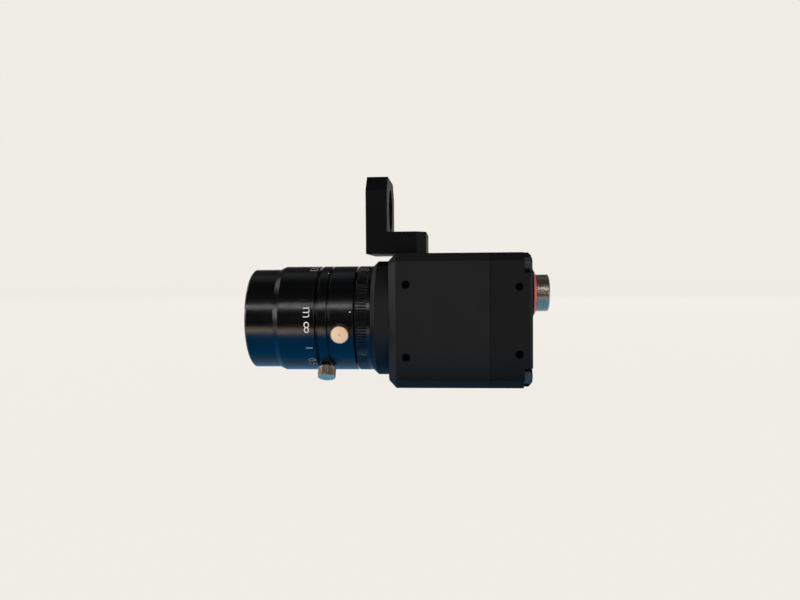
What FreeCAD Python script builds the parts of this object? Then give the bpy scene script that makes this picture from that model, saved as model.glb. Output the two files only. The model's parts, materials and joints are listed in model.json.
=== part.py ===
"""Machine vision camera: a 40 mm square body, a focusing C-mount lens and a fixing bracket.

Every sub-part is built in one local frame: the lens axis is X, the front face of
the camera body is X = 0, the lens points along -X and Z is up. Each sub-part's
Placement then moves it so that the origin of the whole lies in the flat underside,
midway between the two pairs of fixing holes.
"""
import math
import os

import FreeCAD
import Part
import Sketcher

Vector = FreeCAD.Vector

# Driving dimensions in millimetres. Radii are measured from the lens axis.
DRIVING = {
    # Camera body
    "body_side": 40.0,
    "body_edge_chamfer": 2.5,
    "front_edge_chamfer": 2.2,
    "rear_edge_chamfer": 0.9,
    "seam_x": 29.8,
    "body_end_x": 42.25,
    "boss_front_x": -5.75,
    "boss_radius": 18.05,
    "boss_chamfer": 1.35,
    "front_wall": 9.0,
    "rear_wall_x": 34.6,
    "cavity_side": 33.0,
    "cavity_corner_sum": 27.0,
    "mount_thread_radius": 12.75,
    "window_seat_radius": 12.0,
    "light_path_radius": 9.0,
    # Fixing holes in the four long faces
    "fixing_hole_radius": 1.3,
    "fixing_hole_depth": 4.0,
    "front_hole_x": 5.2,
    "front_hole_offset": 10.7,
    "rear_hole_x": 38.3,
    "rear_hole_offset": 9.9,
    "hole_pair_shift": 0.005,
    # Rear corners and the screws in them
    "notch_floor_x": 39.7,
    "notch_radius": 2.4,
    "cover_screw_offset": 16.4,
    "cover_screw_radius": 1.25,
    "cover_screw_clearance": 1.4,
    "cover_screw_head_radius": 2.25,
    "cover_screw_head_height": 2.5,
    "cover_screw_tip_x": 21.8,
    # Seal in the seam
    "gasket_inner": 34.4,
    "gasket_outer": 36.8,
    "gasket_inner_sum": 28.0,
    "gasket_outer_sum": 29.7,
    "gasket_thickness": 0.8,
    # Connector
    "connector_z": 7.65,
    "connector_boss_radius": 8.5,
    "connector_boss_end_x": 43.9,
    "connector_thread_radius": 5.85,
    "connector_neck_radius": 5.6,
    "connector_end_x": 49.0,
    "connector_bore_radius": 4.95,
    "seal_ring_foot_radius": 7.4,
    "seal_ring_top_radius": 6.5,
    "seal_ring_end_x": 44.8,
    "contact_circle_radius": 2.9,
    "contact_radius": 0.5,
    "light_pipe_z": -8.5,
    "light_pipe_radius": 1.0,
    # Boards
    "board_side": 31.0,
    "board_corner_sum": 25.5,
    "board_thickness": 1.6,
    "board_pitch": 7.6,
    "sensor_board_x": 13.2,
    "board_screw_offset": 11.0,
    "board_screw_radius": 1.0,
    "board_screw_grip": 3.0,
    # Lens, fixed parts
    "ring_radius": 16.53,
    "grip_ring_front_x": -10.3,
    "land_radius": 14.6,
    "lens_thread_radius": 12.7,
    "lens_thread_end_x": -1.8,
    "lip_radius": 15.8,
    "iris_ring_front_x": -18.4,
    "iris_ring_rear_x": -10.85,
    "index_ring_front_x": -21.8,
    "index_ring_rear_x": -18.95,
    "journal_radius": 15.3,
    "journal_front_x": -26.0,
    "spigot_radius": 14.4,
    "spigot_front_x": -21.0,
    "sleeve_bore_radius": 13.5,
    "iris_chamber_radius": 12.65,
    "iris_chamber_front_x": -16.2,
    "iris_chamber_rear_x": -12.4,
    "iris_stop_radius": 7.0,
    "iris_plate_thickness": 1.0,
    "iris_plate_bore": 6.3,
    "rear_cell_front_x": -10.5,
    "rear_cell_rear_x": -1.4,
    "rear_nose_end_x": 0.4,
    "rear_nose_radius": 10.8,
    "rear_retainer_radius": 9.0,
    # Lens, moving front
    "focus_ring_front_x": -35.3,
    "focus_ring_rear_x": -22.65,
    "nose_front_x": -44.28,
    "nose_rear_x": -33.4,
    "nose_radius": 15.62,
    "sleeve_radius": 13.2,
    "sleeve_inner_radius": 12.3,
    "sleeve_rear_x": -19.2,
    "focus_step_x": -30.7,
    "guide_pin_x": -23.2,
    "guide_pin_radius": 0.8,
    "front_glass_radius": 9.95,
    "rear_glass_radius": 8.4,
    "filter_thread_radius": 13.25,
    "filter_thread_end_x": -41.6,
    "baffle_seat_radius": 12.6,
    "baffle_seat_x": -40.3,
    "running_clearance": 0.06,
    # Iris
    "blade_pivot_radius": 10.6,
    "blade_inner_radius": 6.2,
    "blade_outer_radius": 9.7,
    "blade_span": 130.0,
    "blade_thickness": 0.1,
    "blade_pitch": 0.18,
    "blade_front_x": -14.5,
    "blade_swing": 26.0,
    "drive_pin_radius": 0.45,
    "cam_turn": 50.0,
    "cam_pin_circle": 10.3,
    "cam_pin_lag": 14.5,
    "cam_pin_radius": 0.35,
    "cam_ring_radius": 12.6,
    "cam_ring_front_x": -15.9,
    "cam_ring_rear_x": -14.6,
    # Thumb screws
    "thumb_head_radius": 2.75,
    "thumb_head_base": 17.0,
    "thumb_head_end": 20.4,
    "thumb_stud_radius": 0.95,
    "focus_screw_x": -20.1,
    "focus_screw_angle": -61.8,
    "iris_screw_x": -14.4,
    "iris_screw_angle": -11.3,
    # Bracket
    "bracket_width": 28.9,
    "bracket_front_x": -6.95,
    "bracket_leg": 6.4,
    "bracket_foot": 6.6,
    "bracket_end_x": 11.1,
    "bracket_top_z": 43.6,
    "bracket_top_chamfer": 4.5,
    "bracket_foot_chamfer": 2.8,
    "bracket_bore_radius": 6.75,
    "bracket_bore_z": 34.1,
}
BLADES = 6
GRIP_RIBS = 120
# Widths of a grip rib at its top and its foot, as shares of the ribs' pitch.
RIB_TOP = 0.58
RIB_FOOT = 0.78
THUMB_TEETH = 30
FIXING_FACES = 4
CONTACTS = 8
OFF_AXIS = 1e-9

# Angles round the lens axis, from the -Y side towards +Z, in degrees.
GUIDE_PIN_ANGLE = 90.0
DRIVE_PIN_ANGLE = 180.0 - DRIVING["iris_screw_angle"] - 22.6
# The first blade's pivot, from the +Y side towards +Z, in degrees.
FIRST_BLADE_ANGLE = 20.0
# How far the drive pin reaches, from the cam ring into the iris ring.
DRIVE_PIN_FOOT = 11.9
DRIVE_PIN_TOP = 15.2
# Where a blade's pivot pin ends behind it, and its driving pin in front of it.
PIVOT_PIN_END_X = -12.7
BLADE_PIN_TIP_X = -15.7


class Length:
    """A length with the expression that ties it to the sheet."""

    def __init__(self, value, text):
        self.value = value
        self.text = text

    def joined(self, other, sign, value):
        other_text = other.text if isinstance(other, Length) else repr(float(other))
        return Length(value, f"({self.text} {sign} {other_text})")

    def __add__(self, other):
        return self.joined(other, "+", self.value + plain(other))

    def __sub__(self, other):
        return self.joined(other, "-", self.value - plain(other))

    def __mul__(self, other):
        return self.joined(other, "*", self.value * plain(other))

    def __truediv__(self, other):
        return self.joined(other, "/", self.value / plain(other))

    def __neg__(self):
        return Length(-self.value, f"(-{self.text})")


def plain(length):
    """The number that a Length or a bare number stands for."""
    return length.value if isinstance(length, Length) else float(length)


def size(alias):
    return Length(DRIVING[alias], f"Sizes.{alias}")


def number(value):
    return Length(float(value), repr(float(value)))


doc = FreeCAD.newDocument("MachineVisionCamera")


def make_sheet():
    """Put the driving dimensions in a spreadsheet, one named cell a row."""
    sheet = doc.addObject("Spreadsheet::Sheet", "Sizes")
    for row, (alias, value) in enumerate(DRIVING.items(), start=1):
        sheet.set(f"A{row}", alias)
        sheet.set(f"B{row}", str(value))
        sheet.setAlias(f"B{row}", alias)
    doc.recompute()


make_sheet()

half_side = size("body_side") / 2
origin_x = -(size("front_hole_x") + size("rear_hole_x")) / 2
origin_z = half_side
drive_pin_x = (size("cam_ring_front_x") + size("cam_ring_rear_x")) / 2
PARTS = []


def place(obj):
    """Move a finished sub-part from the lens frame to the frame of the whole."""
    obj.setExpression("Placement.Base.x", origin_x.text)
    obj.setExpression("Placement.Base.z", origin_z.text)
    PARTS.append(obj)
    return obj


# ---------------------------------------------------------------- PartDesign helpers

def new_body(label):
    body = doc.addObject("PartDesign::Body", label)
    body.Label = label
    return place(body)


def new_sketch(body, name, plane_role, offset=None):
    """A sketch on one of the body's own origin planes, moved off it by offset."""
    sketch = body.newObject("Sketcher::SketchObject", f"{body.Name}_{name}")
    for feature in body.Origin.OriginFeatures:
        if feature.Role == plane_role:
            sketch.AttachmentSupport = [(feature, "")]
    sketch.MapMode = "FlatFace"
    if offset is not None:
        sketch.setExpression("AttachmentOffset.Base.z", offset.text)
    return sketch


def pin_point(sketch, geometry, vertex, across, up):
    """Fix a sketch point at two Lengths from the sketch's origin."""
    for kind, length, axis in (("DistanceX", across, -2), ("DistanceY", up, -1)):
        if abs(plain(length)) < OFF_AXIS:
            sketch.addConstraint(Sketcher.Constraint("PointOnObject", geometry, vertex, axis))
            continue
        index = sketch.addConstraint(
            Sketcher.Constraint(kind, -1, 1, geometry, vertex, plain(length)))
        if isinstance(length, Length):
            sketch.setExpression(f"Constraints[{index}]", length.text)


def draw_outline(sketch, points):
    """Draw a closed outline through the points, each a pair of Lengths."""
    first = sketch.GeometryCount
    count = len(points)
    for index in range(count):
        start = points[index]
        end = points[(index + 1) % count]
        sketch.addGeometry(Part.LineSegment(
            Vector(plain(start[0]), plain(start[1]), 0),
            Vector(plain(end[0]), plain(end[1]), 0)), False)
    for index in range(count):
        following = first + (index + 1) % count
        sketch.addConstraint(Sketcher.Constraint("Coincident", first + index, 2, following, 1))
    for index, (across, up) in enumerate(points):
        pin_point(sketch, first + index, 1, across, up)


def draw_circle(sketch, across, up, radius):
    index = sketch.addGeometry(Part.Circle(
        Vector(plain(across), plain(up), 0), Vector(0, 0, 1), plain(radius)), False)
    pin_point(sketch, index, 3, across, up)
    constraint = sketch.addConstraint(Sketcher.Constraint("Radius", index, plain(radius)))
    if isinstance(radius, Length):
        sketch.setExpression(f"Constraints[{constraint}]", radius.text)


def octagon(side, corner_sum):
    """Corners of a square with cut corners, where |y| + |z| is at most corner_sum."""
    reach = side / 2
    short = corner_sum - reach
    return [(reach, short), (short, reach), (-short, reach), (-reach, short),
            (-reach, -short), (-short, -reach), (short, -reach), (reach, -short)]


def add_feature(body, kind, name, sketch):
    feature = body.newObject(f"PartDesign::{kind}", f"{body.Name}_{name}")
    feature.Profile = sketch
    return feature


def pad(body, name, sketch, length, reverse=False, midplane=False):
    feature = add_feature(body, "Pad", name, sketch)
    feature.Reversed = reverse
    feature.Midplane = midplane
    feature.setExpression("Length", length.text)
    return feature


def pocket(body, name, sketch, length, reverse=False):
    """Cut a pocket, and stop if it removes nothing."""
    doc.recompute()
    before = body.Shape.Volume
    feature = add_feature(body, "Pocket", name, sketch)
    feature.Reversed = reverse
    feature.setExpression("Length", length.text)
    doc.recompute()
    if body.Shape.Volume >= before:
        raise RuntimeError(f"{feature.Name} removes nothing")
    return feature


def turn(body, name, sketch, kind="Revolution"):
    """Revolve a sketch on the XZ plane about the lens axis."""
    feature = add_feature(body, kind, name, sketch)
    feature.ReferenceAxis = (sketch, ["H_Axis"])
    feature.Angle = 360
    return feature


def repeat_round_x(body, name, features, count):
    """Repeat features evenly round the body's X axis."""
    doc.recompute()
    pattern = body.newObject("PartDesign::PolarPattern", f"{body.Name}_{name}")
    pattern.Originals = features
    for feature in body.Origin.OriginFeatures:
        if feature.Role == "X_Axis":
            pattern.Axis = (feature, [""])
    pattern.Angle = 360
    pattern.Occurrences = count
    body.Tip = pattern
    doc.recompute()
    return pattern


def dress(body, kind, name, base, pick, length):
    """Chamfer or fillet the edges of the base feature that pick accepts."""
    doc.recompute()
    edges = [f"Edge{index + 1}" for index, edge in enumerate(base.Shape.Edges) if pick(edge)]
    if not edges:
        raise RuntimeError(f"{name} finds no edges")
    feature = body.newObject(f"PartDesign::{kind}", f"{body.Name}_{name}")
    feature.Base = (base, edges)
    feature.setExpression("Size" if kind == "Chamfer" else "Radius", length.text)
    body.Tip = feature
    doc.recompute()
    return feature


def turned_part(label, outline):
    """A part turned about the lens axis from an outline of (x, radius) pairs."""
    body = new_body(label)
    sketch = new_sketch(body, "section", "XZ_Plane")
    draw_outline(sketch, outline)
    turn(body, "turned", sketch)
    return body


def ring_outline(front, rear, inner, outer):
    return [(front, inner), (rear, inner), (rear, outer), (front, outer)]


# ---------------------------------------------------------------- Part helpers

def new_primitive(kind, name, **lengths):
    """A Part primitive whose named properties are tied to Lengths."""
    obj = doc.addObject(f"Part::{kind}", name)
    for prop, length in lengths.items():
        obj.setExpression(prop.replace("__", "."), length.text)
    return obj


def shaped_part(label, shape):
    """A part whose shape is made from the sheet's sizes by Part's own functions."""
    part = doc.addObject("Part::Feature", label)
    part.Label = label
    part.Shape = shape
    return place(part)


def at_polar(x, radius, degrees):
    """A point at a distance and an angle from the lens axis, the angle from +Y to +Z."""
    angle = math.radians(degrees)
    return Vector(x, radius * math.cos(angle), radius * math.sin(angle))


def turned_to(shape, degrees):
    """A copy of the shape turned about the lens axis."""
    copy = shape.copy()
    copy.rotate(Vector(0, 0, 0), Vector(1, 0, 0), degrees)
    return copy


def tube(x_start, x_end, outer, inner=0.0, y=0.0, z=0.0):
    """A plain tube or rod parallel to the lens axis, as a shape."""
    length = x_end - x_start
    solid = Part.makeCylinder(outer, length, Vector(x_start, y, z), Vector(1, 0, 0))
    if inner:
        bore = Part.makeCylinder(inner, length, Vector(x_start, y, z), Vector(1, 0, 0))
        solid = solid.cut(bore)
    return solid


# ---------------------------------------------------------------- Camera body

def body_section(sketch):
    draw_outline(sketch, octagon(size("body_side"),
                                 size("body_side") - size("body_edge_chamfer")))


def drill_fixing_holes(body, x, offset):
    """A pair of blind holes in each of the four long faces.

    A hair's shift along each face keeps the holes of opposite faces off one line.
    """
    shift = size("hole_pair_shift")
    sketch = new_sketch(body, "fixing_holes", "XZ_Plane", -half_side)
    draw_circle(sketch, x, shift + offset, size("fixing_hole_radius"))
    draw_circle(sketch, x, shift - offset, size("fixing_hole_radius"))
    holes = pocket(body, "fixing_hole_pair", sketch, size("fixing_hole_depth"), reverse=True)
    repeat_round_x(body, "fixing_hole_pairs", [holes], FIXING_FACES)


def make_front_housing():
    """Square body with the round lens boss, the mount thread and the board cavity."""
    body = new_body("front_housing")
    section = new_sketch(body, "section", "YZ_Plane")
    body_section(section)
    block = pad(body, "block", section, size("seam_x"))
    dress(body, "Chamfer", "front_edges", block,
          lambda e: e.BoundBox.XMax < 0.01, size("front_edge_chamfer"))
    boss_sketch = new_sketch(body, "boss_outline", "YZ_Plane")
    draw_circle(boss_sketch, number(0), number(0), size("boss_radius"))
    boss = pad(body, "boss", boss_sketch, -size("boss_front_x"), reverse=True)
    body.Tip = boss
    boss_front = DRIVING["boss_front_x"]
    dress(body, "Chamfer", "boss_edge", boss,
          lambda e: e.BoundBox.XMax < boss_front + 0.01, size("boss_chamfer"))

    bore = new_sketch(body, "light_path", "XZ_Plane")
    front = size("boss_front_x")
    thread = size("mount_thread_radius")
    seat = size("window_seat_radius")
    light = size("light_path_radius")
    draw_outline(bore, [
        (front, number(0)), (front, thread + 0.5), (front + 0.5, thread),
        (number(-1.2), thread), (number(-1.2), seat), (number(4.2), seat),
        (number(4.2), light), (size("front_wall"), light), (size("front_wall"), number(0))])
    turn(body, "light_path_cut", bore, "Groove")

    cavity = new_sketch(body, "cavity_outline", "YZ_Plane", size("seam_x"))
    draw_outline(cavity, octagon(size("cavity_side"), size("cavity_corner_sum")))
    pocket(body, "cavity", cavity, size("seam_x") - size("front_wall"))

    seal = new_sketch(body, "seal_groove_outline", "YZ_Plane", size("seam_x"))
    draw_outline(seal, octagon(size("gasket_inner"), size("gasket_inner_sum")))
    draw_outline(seal, octagon(size("gasket_outer"), size("gasket_outer_sum")))
    pocket(body, "seal_groove", seal, size("gasket_thickness"))

    screws = new_sketch(body, "cover_screw_holes", "YZ_Plane", size("seam_x"))
    posts = new_sketch(body, "board_post_holes", "YZ_Plane", size("front_wall"))
    for side in (1, -1):
        for level in (1, -1):
            draw_circle(screws, size("cover_screw_offset") * side,
                        size("cover_screw_offset") * level, size("cover_screw_radius"))
            draw_circle(posts, size("board_screw_offset") * side,
                        size("board_screw_offset") * level, size("board_screw_radius"))
    pocket(body, "cover_screw_taps", screws, size("seam_x") - size("cover_screw_tip_x"))
    pocket(body, "board_post_taps", posts, size("board_screw_grip"))
    drill_fixing_holes(body, size("front_hole_x"), size("front_hole_offset"))


def make_rear_cover():
    """Rear part with four notched corners and a round boss for the connector."""
    body = new_body("rear_cover")
    section = new_sketch(body, "section", "YZ_Plane", size("seam_x"))
    body_section(section)
    block = pad(body, "block", section, size("body_end_x") - size("seam_x"))
    end_x = DRIVING["body_end_x"]
    dress(body, "Chamfer", "rear_edges", block,
          lambda e: e.BoundBox.XMin > end_x - 0.01, size("rear_edge_chamfer"))
    boss_sketch = new_sketch(body, "boss_outline", "YZ_Plane", size("body_end_x") - 1.0)
    draw_circle(boss_sketch, number(0), size("connector_z"), size("connector_boss_radius"))
    body.Tip = pad(body, "boss", boss_sketch,
                   size("connector_boss_end_x") - size("body_end_x") + 1.0)

    cavity = new_sketch(body, "cavity_outline", "YZ_Plane", size("seam_x"))
    draw_outline(cavity, octagon(size("cavity_side"), size("cavity_corner_sum")))
    pocket(body, "cavity", cavity, size("rear_wall_x") - size("seam_x"), reverse=True)

    through = size("connector_boss_end_x") - size("rear_wall_x")
    port = new_sketch(body, "connector_hole", "YZ_Plane", size("connector_boss_end_x"))
    draw_circle(port, number(0), size("connector_z"), size("connector_neck_radius"))
    draw_circle(port, number(0), size("light_pipe_z"), size("light_pipe_radius"))
    pocket(body, "connector_port", port, through)

    # Each corner is milled away round its screw, with a wall concentric with the head.
    screw_at = size("cover_screw_offset")
    wall = screw_at - size("notch_radius")
    beyond = half_side + 1
    notch_depth = size("connector_boss_end_x") - size("notch_floor_x")
    notch = new_sketch(body, "notch_outline", "YZ_Plane", size("connector_boss_end_x"))
    draw_outline(notch, [(wall, beyond), (wall, screw_at), (screw_at, wall),
                         (beyond, wall), (beyond, beyond)])
    corner = pocket(body, "notch", notch, notch_depth)
    repeat_round_x(body, "notches", [corner], FIXING_FACES)
    seat = new_sketch(body, "screw_seat_outline", "YZ_Plane", size("connector_boss_end_x"))
    draw_circle(seat, screw_at, screw_at, size("notch_radius"))
    round_seat = pocket(body, "screw_seat", seat, notch_depth)
    repeat_round_x(body, "screw_seats", [round_seat], FIXING_FACES)

    hole = new_sketch(body, "cover_screw_hole", "YZ_Plane", size("connector_boss_end_x"))
    draw_circle(hole, size("cover_screw_offset"), size("cover_screw_offset"),
                size("cover_screw_clearance"))
    drilled = pocket(body, "cover_screw_drilling", hole,
                     size("connector_boss_end_x") - size("seam_x"))
    repeat_round_x(body, "cover_screw_drillings", [drilled], FIXING_FACES)
    drill_fixing_holes(body, size("rear_hole_x"), size("rear_hole_offset"))


def make_cover_gasket():
    body = new_body("cover_gasket")
    sketch = new_sketch(body, "outline", "YZ_Plane", size("seam_x"))
    draw_outline(sketch, octagon(size("gasket_outer"), size("gasket_outer_sum")))
    draw_outline(sketch, octagon(size("gasket_inner"), size("gasket_inner_sum")))
    pad(body, "ring", sketch, size("gasket_thickness"), reverse=True)


def hexagon_bar(x_start, x_end, corner_radius):
    """A six-sided bar along the lens axis, as a shape."""
    corners = [Vector(x_start, corner_radius * math.cos(math.pi * k / 3),
                      corner_radius * math.sin(math.pi * k / 3)) for k in range(7)]
    return Part.Face(Part.makePolygon(corners)).extrude(Vector(x_end - x_start, 0, 0))


def cap_screw(head_x, tip_x, radius, head_radius, head_height, socket):
    """A socket head cap screw whose head sits on head_x and whose tip is at tip_x."""
    top_x = head_x + head_height
    screw = tube(tip_x, head_x, radius).fuse(tube(head_x, top_x, head_radius))
    screw = screw.cut(hexagon_bar(top_x - head_height * 0.55, top_x, socket))
    return screw.removeSplitter()


def make_cover_screws():
    offset = DRIVING["cover_screw_offset"]
    screw = cap_screw(DRIVING["notch_floor_x"], DRIVING["cover_screw_tip_x"],
                      DRIVING["cover_screw_radius"], DRIVING["cover_screw_head_radius"],
                      DRIVING["cover_screw_head_height"], 1.15)
    screw.translate(Vector(0, offset, offset))
    screws = [turned_to(screw, 90 * k) for k in range(FIXING_FACES)]
    shaped_part("cover_screws", Part.makeCompound(screws))


# ---------------------------------------------------------------- Sensor and boards

def make_window():
    turned_part("sensor_window", [
        (number(3.2), number(0)), (number(4.2), number(0)),
        (number(4.2), size("window_seat_radius") - 0.1),
        (number(3.2), size("window_seat_radius") - 0.1)])
    turned_part("window_retaining_ring", ring_outline(
        number(2.0), number(3.2), number(10.4), size("window_seat_radius")))


def boxed_part(label, x, width_y, width_z, depth_x):
    """A rectangular block centred on the lens axis, from x along +X."""
    box = new_primitive("Box", label, Length=depth_x, Width=width_y, Height=width_z)
    box.Label = label
    box.setExpression("Placement.Base.y", (-(width_y / 2)).text)
    box.setExpression("Placement.Base.x", (origin_x + x).text)
    box.setExpression("Placement.Base.z", (origin_z - width_z / 2).text)
    PARTS.append(box)
    return box


def make_board(label, x):
    """A circuit board with cut corners and four screw holes."""
    body = new_body(label)
    sketch = new_sketch(body, "outline", "YZ_Plane", x)
    draw_outline(sketch, octagon(size("board_side"), size("board_corner_sum")))
    pad(body, "board", sketch, size("board_thickness"))
    holes = new_sketch(body, "hole", "YZ_Plane", x)
    draw_circle(holes, size("board_screw_offset"), size("board_screw_offset"),
                size("board_screw_radius") + 0.1)
    drilled = pocket(body, "drilling", holes, size("board_thickness"), reverse=True)
    repeat_round_x(body, "drillings", [drilled], FIXING_FACES)


def make_boards():
    first = size("sensor_board_x")
    pitch = size("board_pitch")
    make_board("sensor_board", first)
    make_board("processor_board", first + pitch)
    make_board("interface_board", first + pitch * 2)
    boxed_part("image_sensor", number(11.2), number(20.0), number(18.0), first - 11.2)
    boxed_part("sensor_glass", number(10.5), number(17.0), number(15.0), number(0.7))
    boxed_part("processor_chip", first + pitch + size("board_thickness"),
               number(13.0), number(13.0), number(1.4))


def make_board_stack_fixings():
    """Twelve hexagonal spacers in three layers, and the four long screws through them."""
    offset = DRIVING["board_screw_offset"]
    radius = DRIVING["board_screw_radius"]
    thickness = DRIVING["board_thickness"]
    first = DRIVING["sensor_board_x"]
    pitch = DRIVING["board_pitch"]
    starts = [DRIVING["front_wall"], first + thickness, first + pitch + thickness]
    ends = [first, first + pitch, first + 2 * pitch]
    last = first + 2 * pitch + thickness
    spacers = []
    screws = []
    for side in (1, -1):
        for level in (1, -1):
            y = offset * side
            z = offset * level
            for start, end in zip(starts, ends):
                spacer = hexagon_bar(start, end, radius + 1.1).cut(tube(start, end, radius))
                spacer.translate(Vector(0, y, z))
                spacers.append(spacer)
            screw = cap_screw(last, DRIVING["front_wall"] - DRIVING["board_screw_grip"],
                              radius, 1.9, 1.6, 0.8)
            screw.translate(Vector(0, y, z))
            screws.append(screw)
    shaped_part("board_spacers", Part.makeCompound(spacers))
    shaped_part("board_screws", Part.makeCompound(screws))


# ---------------------------------------------------------------- Connector

def connector_part(label, outline):
    """A part turned about the connector's axis, from (x, radius) pairs."""
    body = turned_part(label, outline)
    body.setExpression("Placement.Base.z", (origin_z + size("connector_z")).text)
    return body


def make_connector():
    thread = size("connector_thread_radius")
    neck = size("connector_neck_radius")
    bore = size("connector_bore_radius")
    inside = size("rear_wall_x") - 2.2
    shoulder = size("seal_ring_end_x")
    end = size("connector_end_x")
    connector_part("connector_shell", [
        (inside, bore), (end - 0.2, bore), (end, bore + 0.2), (end, thread - 0.35),
        (end - 0.4, thread), (shoulder, thread), (shoulder, neck), (inside, neck)])
    boss_end = size("connector_boss_end_x")
    foot = size("seal_ring_foot_radius")
    connector_part("connector_seal_ring", [
        (boss_end, neck), (shoulder, neck), (shoulder, size("seal_ring_top_radius")),
        (boss_end + 0.35, foot), (boss_end, foot)])

    insert = new_body("connector_insert")
    insert.setExpression("Placement.Base.z", (origin_z + size("connector_z")).text)
    face = new_sketch(insert, "outline", "YZ_Plane", inside)
    draw_circle(face, number(0), number(0), bore)
    pad(insert, "block", face, end - 1.0 - inside)
    hole = new_sketch(insert, "socket", "YZ_Plane", end - 1.0)
    draw_circle(hole, size("contact_circle_radius"), number(0), size("contact_radius"))
    socket = pocket(insert, "socket_hole", hole, end - 1.0 - inside)
    repeat_round_x(insert, "socket_holes", [socket], CONTACTS)
    key = new_sketch(insert, "key", "YZ_Plane", end - 1.0)
    draw_outline(key, [(number(-0.6), bore - 0.7), (number(0.6), bore - 0.7),
                       (number(0.6), bore + 0.5), (number(-0.6), bore + 0.5)])
    pocket(insert, "key_slot", key, number(5.0))

    circle = DRIVING["contact_circle_radius"]
    outer = DRIVING["contact_radius"]
    contacts = []
    for k in range(CONTACTS):
        angle = 2 * math.pi * k / CONTACTS
        contacts.append(tube(31.6, DRIVING["connector_end_x"] - 1.8, outer,
                             y=circle * math.cos(angle), z=circle * math.sin(angle)))
    group = shaped_part("connector_contacts", Part.makeCompound(contacts))
    group.setExpression("Placement.Base.z", (origin_z + size("connector_z")).text)

    nut_rear = DRIVING["rear_wall_x"]
    nut_front = nut_rear - 1.8
    nut = hexagon_bar(nut_front, nut_rear, 7.6)
    nut = nut.cut(tube(nut_front, nut_rear, DRIVING["connector_neck_radius"]))
    nut_part = shaped_part("connector_locknut", nut)
    nut_part.setExpression("Placement.Base.z", (origin_z + size("connector_z")).text)

    pipe = turned_part("status_light_pipe", [
        (size("rear_wall_x"), number(0)), (size("body_end_x") + 0.1, number(0)),
        (size("body_end_x") + 0.1, size("light_pipe_radius") - 0.2),
        (size("body_end_x") - 0.1, size("light_pipe_radius")),
        (size("rear_wall_x"), size("light_pipe_radius"))])
    pipe.setExpression("Placement.Base.z", (origin_z + size("light_pipe_z")).text)


# ---------------------------------------------------------------- Bracket

def make_bracket():
    """Thick L-shaped bracket with a clamping bore in its upright leg."""
    body = new_body("bracket")
    front = size("bracket_front_x")
    rear = front + size("bracket_leg")
    foot_top = half_side + size("bracket_foot")
    section = new_sketch(body, "section", "XZ_Plane")
    draw_outline(section, [
        (front, half_side), (size("bracket_end_x"), half_side),
        (size("bracket_end_x"), foot_top), (rear, foot_top),
        (rear, size("bracket_top_z")), (front, size("bracket_top_z"))])
    block = pad(body, "angle", section, size("bracket_width"), midplane=True)
    half_width = DRIVING["bracket_width"] / 2
    top_z = DRIVING["bracket_top_z"]
    end_x = DRIVING["bracket_end_x"]

    def is_top_corner(edge):
        box = edge.BoundBox
        return box.ZMin > top_z - 0.01 and abs(box.YMin) > half_width - 0.01 and box.YLength < 0.01

    def is_foot_corner(edge):
        box = edge.BoundBox
        return box.XMin > end_x - 0.01 and abs(box.YMin) > half_width - 0.01 and box.YLength < 0.01

    top = dress(body, "Chamfer", "top_corners", block, is_top_corner,
                size("bracket_top_chamfer"))
    dress(body, "Chamfer", "foot_corners", top, is_foot_corner, size("bracket_foot_chamfer"))
    bore = new_sketch(body, "bore_outline", "YZ_Plane", rear)
    draw_circle(bore, number(0), size("bracket_bore_z"), size("bracket_bore_radius"))
    pocket(body, "bore", bore, size("bracket_leg"))
    for name, radius, depth in (("counterbores", number(3.1), number(3.4)),
                                ("screw_holes", number(1.6), size("bracket_foot"))):
        sketch = new_sketch(body, name + "_outline", "XY_Plane", foot_top)
        for side in (1, -1):
            draw_circle(sketch, size("front_hole_x"), size("front_hole_offset") * side, radius)
        pocket(body, name, sketch, depth)

    seat = DRIVING["bracket_foot"] - 3.4
    screws = []
    for side in (1, -1):
        screw = cap_screw(seat, -DRIVING["fixing_hole_depth"] + 0.3,
                          DRIVING["fixing_hole_radius"], 2.75, 3.0, 1.4)
        screw.rotate(Vector(0, 0, 0), Vector(0, 1, 0), -90)
        screw.translate(Vector(DRIVING["front_hole_x"], DRIVING["front_hole_offset"] * side,
                               DRIVING["body_side"] / 2))
        screws.append(screw)
    shaped_part("bracket_screws", Part.makeCompound(screws))


# ---------------------------------------------------------------- Radial features

def radial_sketch(body, name, angle, start=0.0):
    """A sketch facing away from the lens axis, its angle measured from -Y towards +Z."""
    sketch = new_sketch(body, name, "XZ_Plane")
    turn_angle = math.radians(-angle)
    offset = Vector(0, -start * math.sin(turn_angle), start * math.cos(turn_angle))
    sketch.AttachmentOffset = FreeCAD.Placement(
        offset, FreeCAD.Rotation(Vector(1, 0, 0), -angle))
    return sketch


def radial_hole(body, name, x, angle, radius, end, start=0.0):
    """A round hole drilled outwards, from one distance off the lens axis to another."""
    sketch = radial_sketch(body, name + "_outline", angle, start)
    draw_circle(sketch, x, number(0), radius)
    return pocket(body, name, sketch, end - start, reverse=True)


def radial_rod(x, angle, start, end, radius):
    """A rod that points away from the lens axis, as a shape."""
    rod = Part.makeCylinder(radius, end - start, Vector(x, -start, 0), Vector(0, -1, 0))
    return turned_to(rod, -angle)


def ribbed_face(radius, depth, ribs):
    """A round face in the YZ plane with flat-topped ribs round its edge."""
    points = []
    for index in range(ribs + 1):
        middle = 360 / ribs * index
        for share, reach in ((-RIB_TOP / 2, radius), (RIB_TOP / 2, radius),
                             (RIB_FOOT / 2, radius - depth),
                             (1 - RIB_FOOT / 2, radius - depth)):
            points.append(at_polar(0, reach, middle + 360 / ribs * share))
    return Part.Face(Part.makePolygon(points[:4 * ribs + 1]))


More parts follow.
